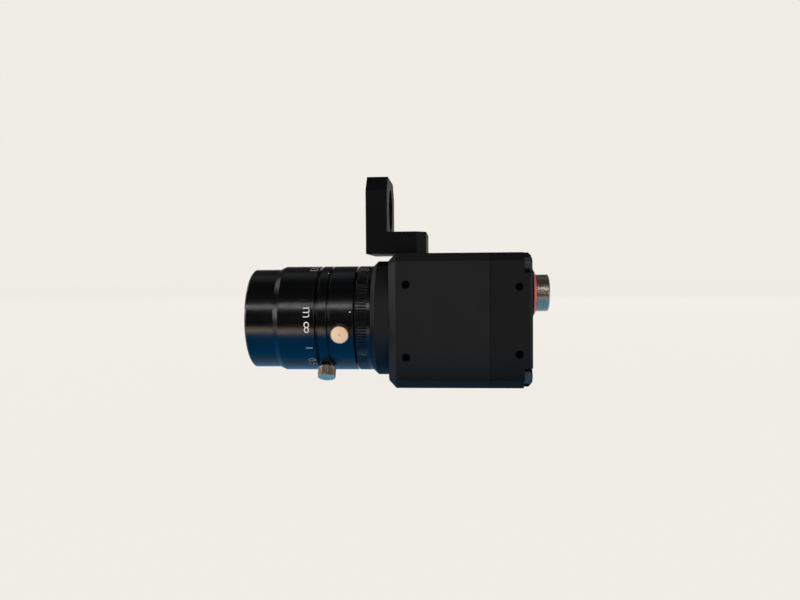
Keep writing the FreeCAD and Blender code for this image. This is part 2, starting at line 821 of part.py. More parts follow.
def toothed_face(radius, depth, teeth):
    """A round face in the YZ plane with straight-sided teeth round its edge."""
    points = []
    for index in range(2 * teeth + 1):
        reach = radius if index % 2 else radius - depth
        angle = math.pi * index / teeth
        points.append(Vector(0, reach * math.cos(angle), reach * math.sin(angle)))
    return Part.Face(Part.makePolygon(points))


# ---------------------------------------------------------------- Lens, fixed parts

def make_lens_base():
    """Fixed tube with the mount thread, the land for the iris ring and the iris chamber."""
    land = size("land_radius")
    thread = size("lens_thread_radius")
    flange = size("boss_front_x")
    chamber = size("iris_chamber_radius")
    spigot = size("spigot_front_x")
    iris_front = size("iris_ring_front_x")
    sleeve = size("sleeve_bore_radius")
    stop_front = size("iris_chamber_front_x")
    stop_rear = size("iris_chamber_rear_x")
    cell = size("rear_glass_radius")
    cell_front = size("rear_cell_front_x")
    cell_rear = size("rear_cell_rear_x")
    nose_end = size("rear_nose_end_x")
    nose = size("rear_nose_radius")
    ring = size("rear_retainer_radius")
    body = turned_part("lens_base", [
        (spigot, sleeve), (stop_front, sleeve), (stop_front, chamber),
        (stop_rear, chamber), (stop_rear, size("iris_stop_radius")),
        (cell_front, size("iris_stop_radius")), (cell_front, cell),
        (cell_rear, cell), (cell_rear, ring), (nose_end, ring), (nose_end, nose),
        (cell_rear, nose), (cell_rear, thread - 0.4),
        (size("lens_thread_end_x"), thread), (flange + 0.6, thread),
        (flange + 0.6, number(12.2)), (flange, number(12.2)), (flange, land),
        (iris_front, land), (iris_front, size("spigot_radius")),
        (spigot, size("spigot_radius"))])

    # The slot through which a pin joins the iris ring to the cam ring inside.
    slot_centre = DRIVE_PIN_ANGLE + DRIVING["cam_turn"] / 2
    section = new_sketch(body, "drive_slot_section", "XZ_Plane")
    section.AttachmentOffset = FreeCAD.Placement(
        Vector(0, 0, 0), FreeCAD.Rotation(Vector(1, 0, 0), 90 - slot_centre))
    draw_outline(section, ring_outline(drive_pin_x - 0.6, drive_pin_x + 0.6,
                                       chamber - 0.4, land + 0.4))
    slot = add_feature(body, "Groove", "drive_slot", section)
    slot.ReferenceAxis = (section, ["H_Axis"])
    slot.Midplane = True
    slot.setExpression("Angle", (size("cam_turn") + 10).text)
    doc.recompute()
    radial_hole(body, "focus_screw_hole", size("focus_screw_x"),
                DRIVING["focus_screw_angle"], size("thumb_stud_radius") + 0.05,
                land + 1)


def make_index_ring():
    """Fixed ring with the journal that carries the focus ring and the lock screw's hole."""
    journal = size("journal_radius")
    ring = size("ring_radius")
    front = size("index_ring_front_x")
    rear = size("index_ring_rear_x")
    bore = size("sleeve_bore_radius")
    snap_front = number(-24.65)
    snap_rear = number(-23.95)
    body = turned_part("index_ring", [
        (size("journal_front_x"), bore), (size("spigot_front_x"), bore),
        (size("spigot_front_x"), size("spigot_radius")),
        (rear + 0.5, size("spigot_radius")), (rear + 0.5, size("lip_radius")),
        (rear, size("lip_radius")), (rear, ring - 0.15), (rear - 0.15, ring),
        (front + 0.15, ring), (front, ring - 0.15), (front, journal),
        (snap_rear, journal), (snap_rear, journal - 0.35), (snap_front, journal - 0.35),
        (snap_front, journal), (size("journal_front_x"), journal)])
    radial_hole(body, "focus_screw_hole", size("focus_screw_x"),
                DRIVING["focus_screw_angle"], size("thumb_stud_radius") + 0.05, ring + 1)
    radial_hole(body, "guide_pin_hole", size("guide_pin_x"), GUIDE_PIN_ANGLE,
                size("guide_pin_radius"), ring + 1)
    shaped_part("guide_pin", radial_rod(
        DRIVING["guide_pin_x"], GUIDE_PIN_ANGLE, DRIVING["sleeve_inner_radius"] + 0.2,
        DRIVING["journal_radius"] - 0.1, DRIVING["guide_pin_radius"]))

    # An open spring ring, half in the journal and half in the focus ring's groove.
    snap = new_body("focus_snap_ring")
    section = new_sketch(snap, "section", "XZ_Plane")
    draw_outline(section, ring_outline(snap_front + 0.05, snap_rear - 0.05,
                                       journal - 0.35, journal + 0.3))
    wire = add_feature(snap, "Revolution", "open_ring", section)
    wire.ReferenceAxis = (section, ["H_Axis"])
    wire.Angle = 330


def make_mount_grip_ring():
    """Ribbed ring next to the camera body, by which the lens is screwed in."""
    front = DRIVING["grip_ring_front_x"]
    rear = DRIVING["boss_front_x"]
    outer = DRIVING["ring_radius"]
    inner = DRIVING["land_radius"]
    rim = 0.4
    core = tube(front, rear, outer - 0.3, inner)
    lip = tube(front - 0.5, front, DRIVING["lip_radius"], inner)
    front_rim = tube(front, front + rim, outer, inner)
    rear_rim = tube(rear - rim, rear, outer, inner)
    ribs = ribbed_face(outer, 0.3, GRIP_RIBS).extrude(Vector(rear - front - 2 * rim, 0, 0))
    ribs.translate(Vector(front + rim, 0, 0))
    ribs = ribs.cut(tube(front, rear, inner))
    ring = core.multiFuse([lip, front_rim, rear_rim, ribs])
    shaped_part("mount_grip_ring", ring.removeSplitter())


# ---------------------------------------------------------------- Glass

def sphere_sag(curve, radius):
    """Depth of a spherical surface at a given distance from the lens axis."""
    return abs(curve) - math.sqrt(curve * curve - radius * radius)


def lens_element(label, front_x, rear_x, radius, front_curve=0.0, rear_curve=0.0):
    """A glass element between two rim positions.

    A positive curve bulges outwards, a negative one is hollow, and zero is flat.
    """
    solid = tube(front_x, rear_x, radius)
    for rim_x, curve, outward in ((front_x, front_curve, -1), (rear_x, rear_curve, 1)):
        if not curve:
            continue
        depth = sphere_sag(curve, radius)
        bulge = curve > 0
        centre_x = rim_x + (-outward if bulge else outward) * (abs(curve) - depth)
        ball = Part.makeSphere(abs(curve), Vector(centre_x, 0, 0))
        if bulge:
            cap = tube(min(rim_x, rim_x + outward * depth * 1.01),
                       max(rim_x, rim_x + outward * depth * 1.01), radius)
            solid = solid.fuse(cap.common(ball))
        else:
            solid = solid.cut(ball)
    shaped_part(label, solid.removeSplitter())


def make_glass():
    front_radius = DRIVING["front_glass_radius"]
    rear_radius = DRIVING["rear_glass_radius"]
    lens_element("front_element", -37.9, -34.6, front_radius, 24.0, 80.0)
    turned_part("front_spacer", ring_outline(
        number(-34.5), number(-32.6), number(9.2), size("front_glass_radius")))
    lens_element("second_element", -32.6, -29.0, front_radius, -40.0, -35.0)
    turned_part("front_retaining_ring", ring_outline(
        number(-40.2), number(-38.5), number(8.7), number(10.6)))
    seat = size("baffle_seat_radius")
    floor = size("baffle_seat_x")
    mouth = size("filter_thread_end_x")
    turned_part("front_baffle_ring", [
        (floor, number(8.9)), (floor, seat), (mouth, seat), (mouth, seat - 0.4),
        (floor - 0.4, number(8.9))])
    cell_rear = size("rear_cell_rear_x")
    lens_element("rear_doublet", -9.9, -6.0, rear_radius, 20.0, 0.0)
    turned_part("rear_spacer", ring_outline(
        number(-6.0), number(-4.83), number(7.6), size("rear_glass_radius")))
    lens_element("rear_element", -4.6, cell_rear.value, rear_radius, 30.0, 0.0)
    turned_part("rear_retaining_ring", ring_outline(
        cell_rear, size("rear_nose_end_x") - 0.2, number(7.3),
        size("rear_retainer_radius")))


# ---------------------------------------------------------------- Focusing parts

def make_focus_ring():
    """Outer ring that turns on the journal and drives the front barrel by its thread."""
    ring = size("ring_radius")
    nose = size("nose_radius")
    clearance = size("running_clearance")
    journal = size("journal_radius") + clearance
    sleeve = size("sleeve_radius") + clearance
    front = size("focus_ring_front_x")
    rear = size("focus_ring_rear_x")
    step = size("focus_step_x")
    groove = size("journal_radius") + 0.45
    turned_part("focus_ring", [
        (front, nose + 0.13), (step, nose + 0.13), (step, sleeve),
        (size("journal_front_x") - 0.3, sleeve), (size("journal_front_x") - 0.3, journal),
        (number(-24.75), journal), (number(-24.75), groove), (number(-23.85), groove),
        (number(-23.85), journal), (rear, journal), (rear, ring - 0.15),
        (rear - 0.15, ring), (front + 1.4, ring), (front, ring - 0.6)])


def make_front_barrel():
    """Tube that carries the front glass, with the slot that keeps it from turning."""
    front = size("nose_front_x")
    nose = size("nose_radius")
    sleeve = size("sleeve_radius")
    inner = size("sleeve_inner_radius")
    filter_end = size("filter_thread_end_x")
    filter_radius = size("filter_thread_radius")
    baffle = size("baffle_seat_radius")
    baffle_seat = size("baffle_seat_x")
    glass = size("front_glass_radius") + 0.05
    cell_rear = number(-27.5)
    seat = number(-29.0)
    ring_seat = number(-38.5)
    body = turned_part("front_barrel", [
        (front, filter_radius + 0.4), (front + 0.4, filter_radius),
        (filter_end, filter_radius), (filter_end, baffle), (baffle_seat, baffle),
        (baffle_seat, number(10.6)), (ring_seat, number(10.6)), (ring_seat, glass),
        (seat, glass),
        (seat, number(8.6)), (cell_rear, number(8.6)), (cell_rear, inner),
        (size("sleeve_rear_x"), inner), (size("sleeve_rear_x"), sleeve),
        (size("nose_rear_x"), sleeve), (size("nose_rear_x"), nose),
        (front + 0.5, nose), (front, nose - 0.5)])
    slot = radial_sketch(body, "guide_slot_outline", GUIDE_PIN_ANGLE)
    half_width = size("guide_pin_radius") + 0.05
    slot_front = number(-27.0)
    slot_rear = size("sleeve_rear_x") + 1
    draw_outline(slot, [(slot_front, -half_width), (slot_rear, -half_width),
                        (slot_rear, half_width), (slot_front, half_width)])
    pocket(body, "guide_slot", slot, size("ring_radius"), reverse=True)


# ---------------------------------------------------------------- Iris

def make_iris_ring():
    """Outer ring that opens and closes the iris through a pin in its bore."""
    ring = size("ring_radius")
    front = size("iris_ring_front_x")
    rear = size("iris_ring_rear_x")
    bore = size("land_radius") + 0.05
    body = turned_part("iris_ring", [
        (front, bore), (rear, bore), (rear, ring - 0.15), (rear - 0.15, ring),
        (front + 0.15, ring), (front, ring - 0.15)])
    radial_hole(body, "iris_screw_hole", size("iris_screw_x"),
                DRIVING["iris_screw_angle"], size("thumb_stud_radius") + 0.05, ring + 1)
    radial_hole(body, "drive_pin_hole", drive_pin_x, DRIVE_PIN_ANGLE,
                size("drive_pin_radius"), number(DRIVE_PIN_TOP))
    shaped_part("iris_drive_pin", radial_rod(
        drive_pin_x.value, DRIVE_PIN_ANGLE, DRIVE_PIN_FOOT, DRIVE_PIN_TOP,
        DRIVING["drive_pin_radius"]))


def blade_pin_place(swing):
    """Where a blade's driving pin is after the blade has swung, for a pivot at angle 0."""
    pivot = at_polar(0, DRIVING["blade_pivot_radius"], 0)
    pin = at_polar(0, DRIVING["cam_pin_circle"], -DRIVING["cam_pin_lag"])
    arm = pin - pivot
    return pivot + FreeCAD.Rotation(Vector(1, 0, 0), swing).multVec(arm)


def rounded_bar(start, end, radius, thickness):
    """A flat bar with round ends between two points of one plane, as a shape."""
    along = end - start
    side = Vector(0, -along.z, along.y).normalize() * radius
    outline = Part.makePolygon([start + side, end + side, end - side, start - side,
                                start + side])
    depth = Vector(thickness, 0, 0)
    bar = Part.Face(outline).extrude(depth)
    ends = [Part.makeCylinder(radius, thickness, point, Vector(1, 0, 0))
            for point in (start, end)]
    return bar.multiFuse(ends)


def curved_slot(start, middle, end, half_width, length):
    """A slot with round ends along an arc through three points, cut length deep along X."""
    path = Part.Arc(start, middle, end).toShape().Curve
    centre = path.Center

    def beside(point, shift):
        return centre + (point - centre).normalize() * (path.Radius + shift)

    def beyond(point, neighbour):
        tangent = Vector(1, 0, 0).cross(point - centre).normalize() * half_width
        return point + tangent if tangent.dot(point - neighbour) > 0 else point - tangent

    outer = [beside(point, half_width) for point in (start, middle, end)]
    inner = [beside(point, -half_width) for point in (end, middle, start)]
    edges = [Part.Arc(*outer).toShape(),
             Part.Arc(outer[2], beyond(end, middle), inner[0]).toShape(),
             Part.Arc(*inner).toShape(),
             Part.Arc(inner[2], beyond(start, middle), outer[0]).toShape()]
    return Part.Face(Part.Wire(edges)).extrude(Vector(length, 0, 0))


def make_cam_ring():
    """Flat ring with one curved slot a blade, turned by the drive pin.

    The ring turns one way while each blade's pin swings about its own pivot, so in
    the ring's own frame the pin's path runs the other way round the ring.
    """
    front = DRIVING["cam_ring_front_x"]
    rear = DRIVING["cam_ring_rear_x"]
    travel = DRIVING["cam_turn"]
    path = []
    for share in (0.0, 0.5, 1.0):
        pin = blade_pin_place(DRIVING["blade_swing"] * share)
        pin = FreeCAD.Rotation(Vector(1, 0, 0), travel * share).multVec(pin)
        path.append(pin + Vector(front, 0, 0))
    slot = curved_slot(*path, DRIVING["cam_pin_radius"] + 0.1, rear - front)
    ring = tube(front, rear, DRIVING["cam_ring_radius"], 9.3)
    for index in range(BLADES):
        ring = ring.cut(turned_to(slot, FIRST_BLADE_ANGLE + 360 / BLADES * index))
    ring = ring.cut(radial_rod(drive_pin_x.value, DRIVE_PIN_ANGLE, DRIVE_PIN_FOOT,
                               DRIVING["cam_ring_radius"] + 1, DRIVING["drive_pin_radius"]))
    shaped_part("iris_cam_ring", ring)


def blade_shape(index):
    """One thin blade at angle 0, with its pivot pin behind and its driving pin in front."""
    front = DRIVING["blade_front_x"] + DRIVING["blade_pitch"] * index
    thickness = DRIVING["blade_thickness"]
    inner = DRIVING["blade_inner_radius"]
    outer = DRIVING["blade_outer_radius"]
    span = DRIVING["blade_span"]
    root = -4.0
    middle = (root + span) / 2
    edges = [
        Part.Arc(at_polar(front, outer, root), at_polar(front, outer, middle),
                 at_polar(front, outer, span)).toShape(),
        Part.makeLine(at_polar(front, outer, span), at_polar(front, inner, span)),
        Part.Arc(at_polar(front, inner, span), at_polar(front, inner, middle),
                 at_polar(front, inner, root)).toShape(),
        Part.makeLine(at_polar(front, inner, root), at_polar(front, outer, root))]
    leaf = Part.Face(Part.Wire(edges)).extrude(Vector(thickness, 0, 0))
    pivot = at_polar(front, DRIVING["blade_pivot_radius"], 0)
    pin = blade_pin_place(0.0) + Vector(front, 0, 0)
    arm = rounded_bar(pivot, pin, 0.75, thickness)
    hub = Part.makeCylinder(1.1, thickness, pivot, Vector(1, 0, 0))
    pivot_pin = Part.makeCylinder(0.45, PIVOT_PIN_END_X - front, pivot, Vector(1, 0, 0))
    drive_pin = Part.makeCylinder(DRIVING["cam_pin_radius"], front - BLADE_PIN_TIP_X + thickness,
                                  Vector(BLADE_PIN_TIP_X, pin.y, pin.z), Vector(1, 0, 0))
    return leaf.multiFuse([arm, hub, pivot_pin, drive_pin])


def make_iris():
    """Base plate, six blades, and the ring that keeps the cam ring in its chamber."""
    make_cam_ring()
    for index in range(BLADES):
        angle = FIRST_BLADE_ANGLE + 360 / BLADES * index
        shaped_part(f"iris_blade_{index + 1}", turned_to(blade_shape(index), angle))

    plate_rear = size("iris_chamber_rear_x")
    plate_front = plate_rear - size("iris_plate_thickness")
    plate = turned_part("iris_base_plate", ring_outline(
        plate_front, plate_rear, size("iris_plate_bore"), size("iris_chamber_radius")))
    hole = new_sketch(plate, "pivot_hole_outline", "YZ_Plane", plate_front)
    angle = math.radians(FIRST_BLADE_ANGLE)
    pivot = size("blade_pivot_radius")
    draw_circle(hole, pivot * math.cos(angle), pivot * math.sin(angle), number(0.5))
    drilled = pocket(plate, "pivot_hole", hole, size("iris_plate_thickness"), reverse=True)
    repeat_round_x(plate, "pivot_holes", [drilled], BLADES)

    turned_part("iris_retaining_ring", ring_outline(
        size("iris_chamber_front_x"), size("cam_ring_front_x") - 0.05, number(11.4),
        size("iris_chamber_radius")))


# ---------------------------------------------------------------- Thumb screws

def make_thumb_screw(label, x, angle, tip):
    """A knurled thumb screw that points at the lens axis."""
    base = DRIVING["thumb_head_base"]
    end = DRIVING["thumb_head_end"]
    radius = DRIVING["thumb_head_radius"]
    rim = 0.3
    stud = radial_rod(x, angle, tip, base, DRIVING["thumb_stud_radius"])
    knurl = toothed_face(radius, 0.25, THUMB_TEETH).extrude(Vector(end - base - 2 * rim, 0, 0))
    knurl.rotate(Vector(0, 0, 0), Vector(0, 0, 1), -90)
    knurl.translate(Vector(x, -base - rim, 0))
    knurl = turned_to(knurl, -angle)
    neck = radial_rod(x, angle, base, base + rim, radius - 0.3)
    top = radial_rod(x, angle, end - rim, end, radius - 0.3)
    shaped_part(label, stud.multiFuse([neck, knurl, top]).removeSplitter())


def make_thumb_screws():
    make_thumb_screw("focus_lock_screw", DRIVING["focus_screw_x"],
                     DRIVING["focus_screw_angle"], DRIVING["sleeve_radius"] + 0.1)
    make_thumb_screw("iris_lock_screw", DRIVING["iris_screw_x"],
                     DRIVING["iris_screw_angle"], DRIVING["land_radius"] + 0.02)


# ---------------------------------------------------------------- Whole

def check_parts():
    """Stop if any object failed or any sub-part has no valid shape."""
    doc.recompute()
    for obj in doc.Objects:
        if "Invalid" in obj.State or "Error" in obj.State:
            raise RuntimeError(f"{obj.Label} failed: {obj.State}")
    for obj in PARTS:
        if obj.Shape.isNull() or not obj.Shape.isValid():
            raise RuntimeError(f"{obj.Label} has no valid shape")


def write_parts():
    os.makedirs("parts", exist_ok=True)
    for obj in PARTS:
        obj.Shape.exportStep(f"parts/{obj.Label}.step")


make_front_housing()
make_rear_cover()
make_cover_gasket()
make_cover_screws()
make_window()
make_boards()
make_board_stack_fixings()
make_connector()
make_bracket()
make_lens_base()
make_index_ring()
make_mount_grip_ring()
make_glass()
make_focus_ring()
make_front_barrel()
make_iris_ring()
make_iris()
make_thumb_screws()
check_parts()
write_parts()
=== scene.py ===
"""Finishes, screw threads, lettering and studio for a machine vision camera.

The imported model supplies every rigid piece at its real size. This script gives each
piece its finish, makes the threaded, knurled and ribbed pieces again with their fine
detail, paints the distance scale and the index dots, and sets up the floor, the lamps,
the reflecting cards and the camera. All lengths are in metres.
"""
from __future__ import annotations

import json
import logging
import math
from dataclasses import dataclass
from enum import Enum

import bmesh
import bpy
from mathutils import Matrix, Vector

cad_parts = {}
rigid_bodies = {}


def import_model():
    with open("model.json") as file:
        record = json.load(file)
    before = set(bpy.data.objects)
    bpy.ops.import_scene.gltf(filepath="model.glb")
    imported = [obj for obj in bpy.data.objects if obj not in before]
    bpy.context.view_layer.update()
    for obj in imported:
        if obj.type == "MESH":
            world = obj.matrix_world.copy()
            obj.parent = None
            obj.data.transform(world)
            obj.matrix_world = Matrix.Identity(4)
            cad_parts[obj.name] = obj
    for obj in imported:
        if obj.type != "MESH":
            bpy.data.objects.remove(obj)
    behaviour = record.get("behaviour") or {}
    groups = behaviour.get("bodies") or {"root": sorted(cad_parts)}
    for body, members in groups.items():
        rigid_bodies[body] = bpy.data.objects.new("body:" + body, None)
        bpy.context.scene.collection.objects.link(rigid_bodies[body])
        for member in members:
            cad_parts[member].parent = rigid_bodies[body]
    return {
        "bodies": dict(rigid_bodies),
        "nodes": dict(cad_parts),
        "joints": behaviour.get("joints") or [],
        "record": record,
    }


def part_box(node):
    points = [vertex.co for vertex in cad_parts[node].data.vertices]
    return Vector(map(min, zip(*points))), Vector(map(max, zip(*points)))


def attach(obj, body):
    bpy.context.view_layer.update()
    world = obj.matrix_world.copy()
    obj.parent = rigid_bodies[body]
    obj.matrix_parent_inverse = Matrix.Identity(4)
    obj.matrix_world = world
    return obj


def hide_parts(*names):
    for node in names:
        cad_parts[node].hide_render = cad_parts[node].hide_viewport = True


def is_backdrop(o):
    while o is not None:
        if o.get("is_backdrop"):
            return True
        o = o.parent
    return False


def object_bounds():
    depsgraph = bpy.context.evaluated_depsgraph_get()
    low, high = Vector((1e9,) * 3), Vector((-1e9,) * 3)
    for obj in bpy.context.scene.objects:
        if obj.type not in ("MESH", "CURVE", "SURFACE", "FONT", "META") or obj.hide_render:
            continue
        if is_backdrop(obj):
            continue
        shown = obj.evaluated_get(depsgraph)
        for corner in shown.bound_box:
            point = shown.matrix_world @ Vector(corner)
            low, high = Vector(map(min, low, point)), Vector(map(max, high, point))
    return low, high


LOG = logging.getLogger("vision_camera")
MM = 0.001
QUARTER_TURN = math.radians(90.0)

Colour = tuple[float, float, float]

# How far the lens boss stands in front of the body's face.
BOSS_LENGTH = 5.75 * MM

# Angles above which an edge stays sharp, in degrees.
THREAD_ANGLE = 50.0
KNURL_ANGLE = 30.0
RIB_ANGLE = 25.0

# How far a groove takes to reach its depth, how near a point has to be to a cylinder to
# count as on it, and how near two points of a mark have to be to become one.
GROOVE_RUN_OUT = 0.15 * MM
WALL_TOLERANCE = 1e-6
MERGE_DISTANCE = 1e-7

# Where in a noise texture's values each effect starts and is complete.
CLOUD_RANGE = (0.3, 0.7)
SPECKLE_RANGE = (0.35, 0.7)
WORN_PATCH_RANGE = (0.42, 0.62)
# How far a softened normal turns from a flat face's, as one less its cosine.
WORN_EDGE_RANGE = (0.02, 0.2)

# How strongly the mottle changes the roughness, and the flecks the colour.
ROUGHNESS_CHANGE = 0.5
FLECK_SHARE = 0.5
FLECK_GAIN = 1.6
# The relief's height for each unit of grain size, and the grain's share beside lathe rings.
RELIEF_HEIGHT = 0.25
GRAIN_BESIDE_RINGS = 0.5

# The copper tracks of a circuit board, and the image sensor's die.
TRACK_CELLS_A_METRE = 420.0
TRACK_EDGE_RANGE = (0.03, 0.08)
TRACK_SHARE = 0.6
TRACK_COLOUR: Colour = (0.05, 0.30, 0.12)
DIE_BANDS_A_METRE = 900.0
DIE_SHARE = 0.7
DIE_COLOURS: tuple[Colour, Colour] = ((0.03, 0.05, 0.04), (0.06, 0.04, 0.09))

# A lamp's power for each square metre of it and each unit of radiance.
LAMP_POWER = 4.0


class Motif(Enum):
    """The pattern that a finish carries."""

    PLAIN = "plain"
    TURNED = "turned"
    BOARD = "board"
    SENSOR = "sensor"


class NodeGraph:
    """A node tree under construction, with short ways to add and join nodes."""

    def __init__(self, tree: bpy.types.NodeTree) -> None:
        """Wrap a node tree.

        Args:
            tree: The shader or geometry tree to fill.
        """
        self.tree = tree

    def add(self, kind: str, **settings: object) -> bpy.types.Node:
        """Add a node and set its properties.

        Args:
            kind: The node's Blender type name.
            **settings: Properties to set on the node.

        Returns:
            The new node.
        """
        node = self.tree.nodes.new(kind)
        for name, value in settings.items():
            setattr(node, name, value)
        return node

    def feed(self, target: bpy.types.NodeSocket, source: object) -> None:
        """Join a socket to another, or set it to a constant.

        Args:
            target: The input socket.
            source: An output socket, or a plain value.
        """
        if isinstance(source, bpy.types.NodeSocket):
            self.tree.links.new(source, target)
        else:
            target.default_value = source

    def math(self, operation: str, first: object, second: object = None,
             third: object = None, clamp: bool = False) -> bpy.types.NodeSocket:
        """Add a math node for the tree's own kind of graph.

        Args:
            operation: The math operation's name.
            first: The first value or socket.
            second: The second value or socket, where there is one.
            third: The third value or socket, where there is one.
            clamp: Whether the result stays between 0 and 1.

        Returns:
            The result's socket.
        """
        node = self.add("ShaderNodeMath", operation=operation, use_clamp=clamp)
        for socket, value in zip(node.inputs, (first, second, third)):
            if value is not None:
                self.feed(socket, value)
        return node.outputs[0]

    def range(self, value: object, low: float, high: float, to_low: float = 0.0,
              to_high: float = 1.0) -> bpy.types.NodeSocket:
        """Map a value smoothly from one range to another, held at both ends.

        Args:
            value: The value or socket to map.
            low: Where the range starts.
            high: Where the range ends.
            to_low: The result at low.
            to_high: The result at high.

        Returns:
            The mapped value's socket.
        """
        node = self.add("ShaderNodeMapRange", interpolation_type="SMOOTHSTEP")
        for socket, item in zip(node.inputs, (value, low, high, to_low, to_high)):
            self.feed(socket, item)
        return node.outputs[0]

    def blend(self, share: object, first: object, second: object) -> bpy.types.NodeSocket:
        """Mix two colours.

        Args:
            share: How much of the second colour shows, from 0 to 1.
            first: The first colour or socket.
            second: The second colour or socket.

        Returns:
            The mixed colour's socket.
        """
        node = self.add("ShaderNodeMix", data_type="RGBA")
        self.feed(node.inputs[0], share)
        self.feed(node.inputs[6], first)
        self.feed(node.inputs[7], second)
        return node.outputs[2]

    def place(self) -> bpy.types.NodeSocket:
        """Give each point's place on its piece, in metres."""
        return self.add("ShaderNodeTexCoord").outputs["Object"]

    def noise(self, place: object, scale: object, detail: float,
              dimensions: str = "3D") -> bpy.types.NodeSocket:
        """Add a noise texture.

        Args:
            place: Where to read it, as a vector or, in one dimension, a number.
            scale: How many of its lumps there are in a unit of that place.
            detail: How many finer layers it has.
            dimensions: "3D" or "1D".

        Returns:
            The noise's socket.
        """
        node = self.add("ShaderNodeTexNoise", noise_dimensions=dimensions)
        self.feed(node.inputs["W" if dimensions == "1D" else "Vector"], place)
        self.feed(node.inputs["Scale"], scale)
        self.feed(node.inputs["Detail"], detail)
        return node.outputs["Fac"]


def rgba(colour: Colour) -> tuple[float, float, float, float]:
    """Give a colour its fourth number."""
    return (*colour, 1.0)


def new_material(name: str) -> tuple[bpy.types.Material, NodeGraph, bpy.types.Node]:
    """Start a material.

    Args:
        name: The material's name.

    Returns:
        The material, its graph and its Principled shader's node.
    """
    material = bpy.data.materials.new(name)
    material.use_nodes = True
    return material, NodeGraph(material.node_tree), material.node_tree.nodes["Principled BSDF"]


def new_group(name: str, inputs: dict[str, float],
              outputs: dict[str, str]) -> tuple[NodeGraph, bpy.types.Node, bpy.types.Node]:
    """Start a shader node group with float inputs.

    Args:
        name: The group's name.
        inputs: Each input's name and its usual value.
        outputs: Each output's name and its socket type.

    Returns:
        The group's graph, its input node and its output node.
    """
    tree = bpy.data.node_groups.new(name, "ShaderNodeTree")
    for title, value in inputs.items():
        socket = tree.interface.new_socket(title, in_out="INPUT", socket_type="NodeSocketFloat")
        socket.default_value = value
    for title, kind in outputs.items():
        tree.interface.new_socket(title, in_out="OUTPUT", socket_type=kind)
    graph = NodeGraph(tree)
    return graph, graph.add("NodeGroupInput"), graph.add("NodeGroupOutput")


class SurfaceEffects:
    """Node groups for the effects that several finishes share."""

    def __init__(self) -> None:
        """Build each group once."""
        self.grain = self._make_grain()
        self.edges = self._make_edges()
        self.turning = self._make_turning()

    @staticmethod
    def _make_grain() -> bpy.types.NodeTree:
        """Build the group for fine speckle with slow cloudy changes.

        Returns:
            The node group.
        """
        graph, given, result = new_group(
            "fine_grain", {"Grain Size": 0.0002, "Cloud Size": 0.008},
            {"Speckle": "NodeSocketFloat", "Cloud": "NodeSocketFloat"})
        place = graph.place()
        for title, size, detail in (("Speckle", "Grain Size", 3.0), ("Cloud", "Cloud Size", 4.0)):
            scale = graph.math("DIVIDE", 1.0, given.outputs[size])
            graph.feed(result.inputs[title], graph.noise(place, scale, detail))
        return graph.tree

    @staticmethod
    def _make_edges() -> bpy.types.NodeTree:
        """Build the group that finds outer edges, rounds them and adds fine relief.

        Returns:
            The node group.
        """
        graph, given, result = new_group(
            "softened_edges", {"Radius": 0.0002, "Patch Size": 0.002, "Height": 0.0,
                               "Strength": 0.2, "Distance": 0.00005},
            {"Wear": "NodeSocketFloat", "Normal": "NodeSocketVector"})
        bevel = graph.add("ShaderNodeBevel", samples=6)
        graph.feed(bevel.inputs["Radius"], given.outputs["Radius"])
        facing = graph.add("ShaderNodeNewGeometry")
        angle = graph.add("ShaderNodeVectorMath", operation="DOT_PRODUCT")
        graph.feed(angle.inputs[0], bevel.outputs["Normal"])
        graph.feed(angle.inputs[1], facing.outputs["Normal"])
        turned = graph.math("SUBTRACT", 1.0, angle.outputs["Value"], clamp=True)
        scale = graph.math("DIVIDE", 1.0, given.outputs["Patch Size"])
        patches = graph.noise(graph.place(), scale, detail=5.0)
        worn = graph.range(patches, *WORN_PATCH_RANGE)
        edge = graph.range(turned, *WORN_EDGE_RANGE)
        graph.feed(result.inputs["Wear"], graph.math("MULTIPLY", edge, worn))
        relief = graph.add("ShaderNodeBump")
        for title in ("Height", "Strength", "Distance"):
            graph.feed(relief.inputs[title], given.outputs[title])
        graph.feed(relief.inputs["Normal"], bevel.outputs["Normal"])
        graph.feed(result.inputs["Normal"], relief.outputs["Normal"])
        return graph.tree

    @staticmethod
    def _make_turning() -> bpy.types.NodeTree:
        """Build the group for the fine rings that a lathe leaves round the X axis.

        Returns:
            The node group.
        """
        graph, given, result = new_group(
            "lathe_rings", {"Spacing": 0.00012}, {"Height": "NodeSocketFloat"})
        parts = graph.add("ShaderNodeSeparateXYZ")
        graph.feed(parts.inputs[0], graph.place())
        steps = graph.math("DIVIDE", parts.outputs["X"], given.outputs["Spacing"])
        rings = graph.noise(steps, scale=1.0, detail=3.0, dimensions="1D")
        graph.feed(result.inputs["Height"], rings)
        return graph.tree


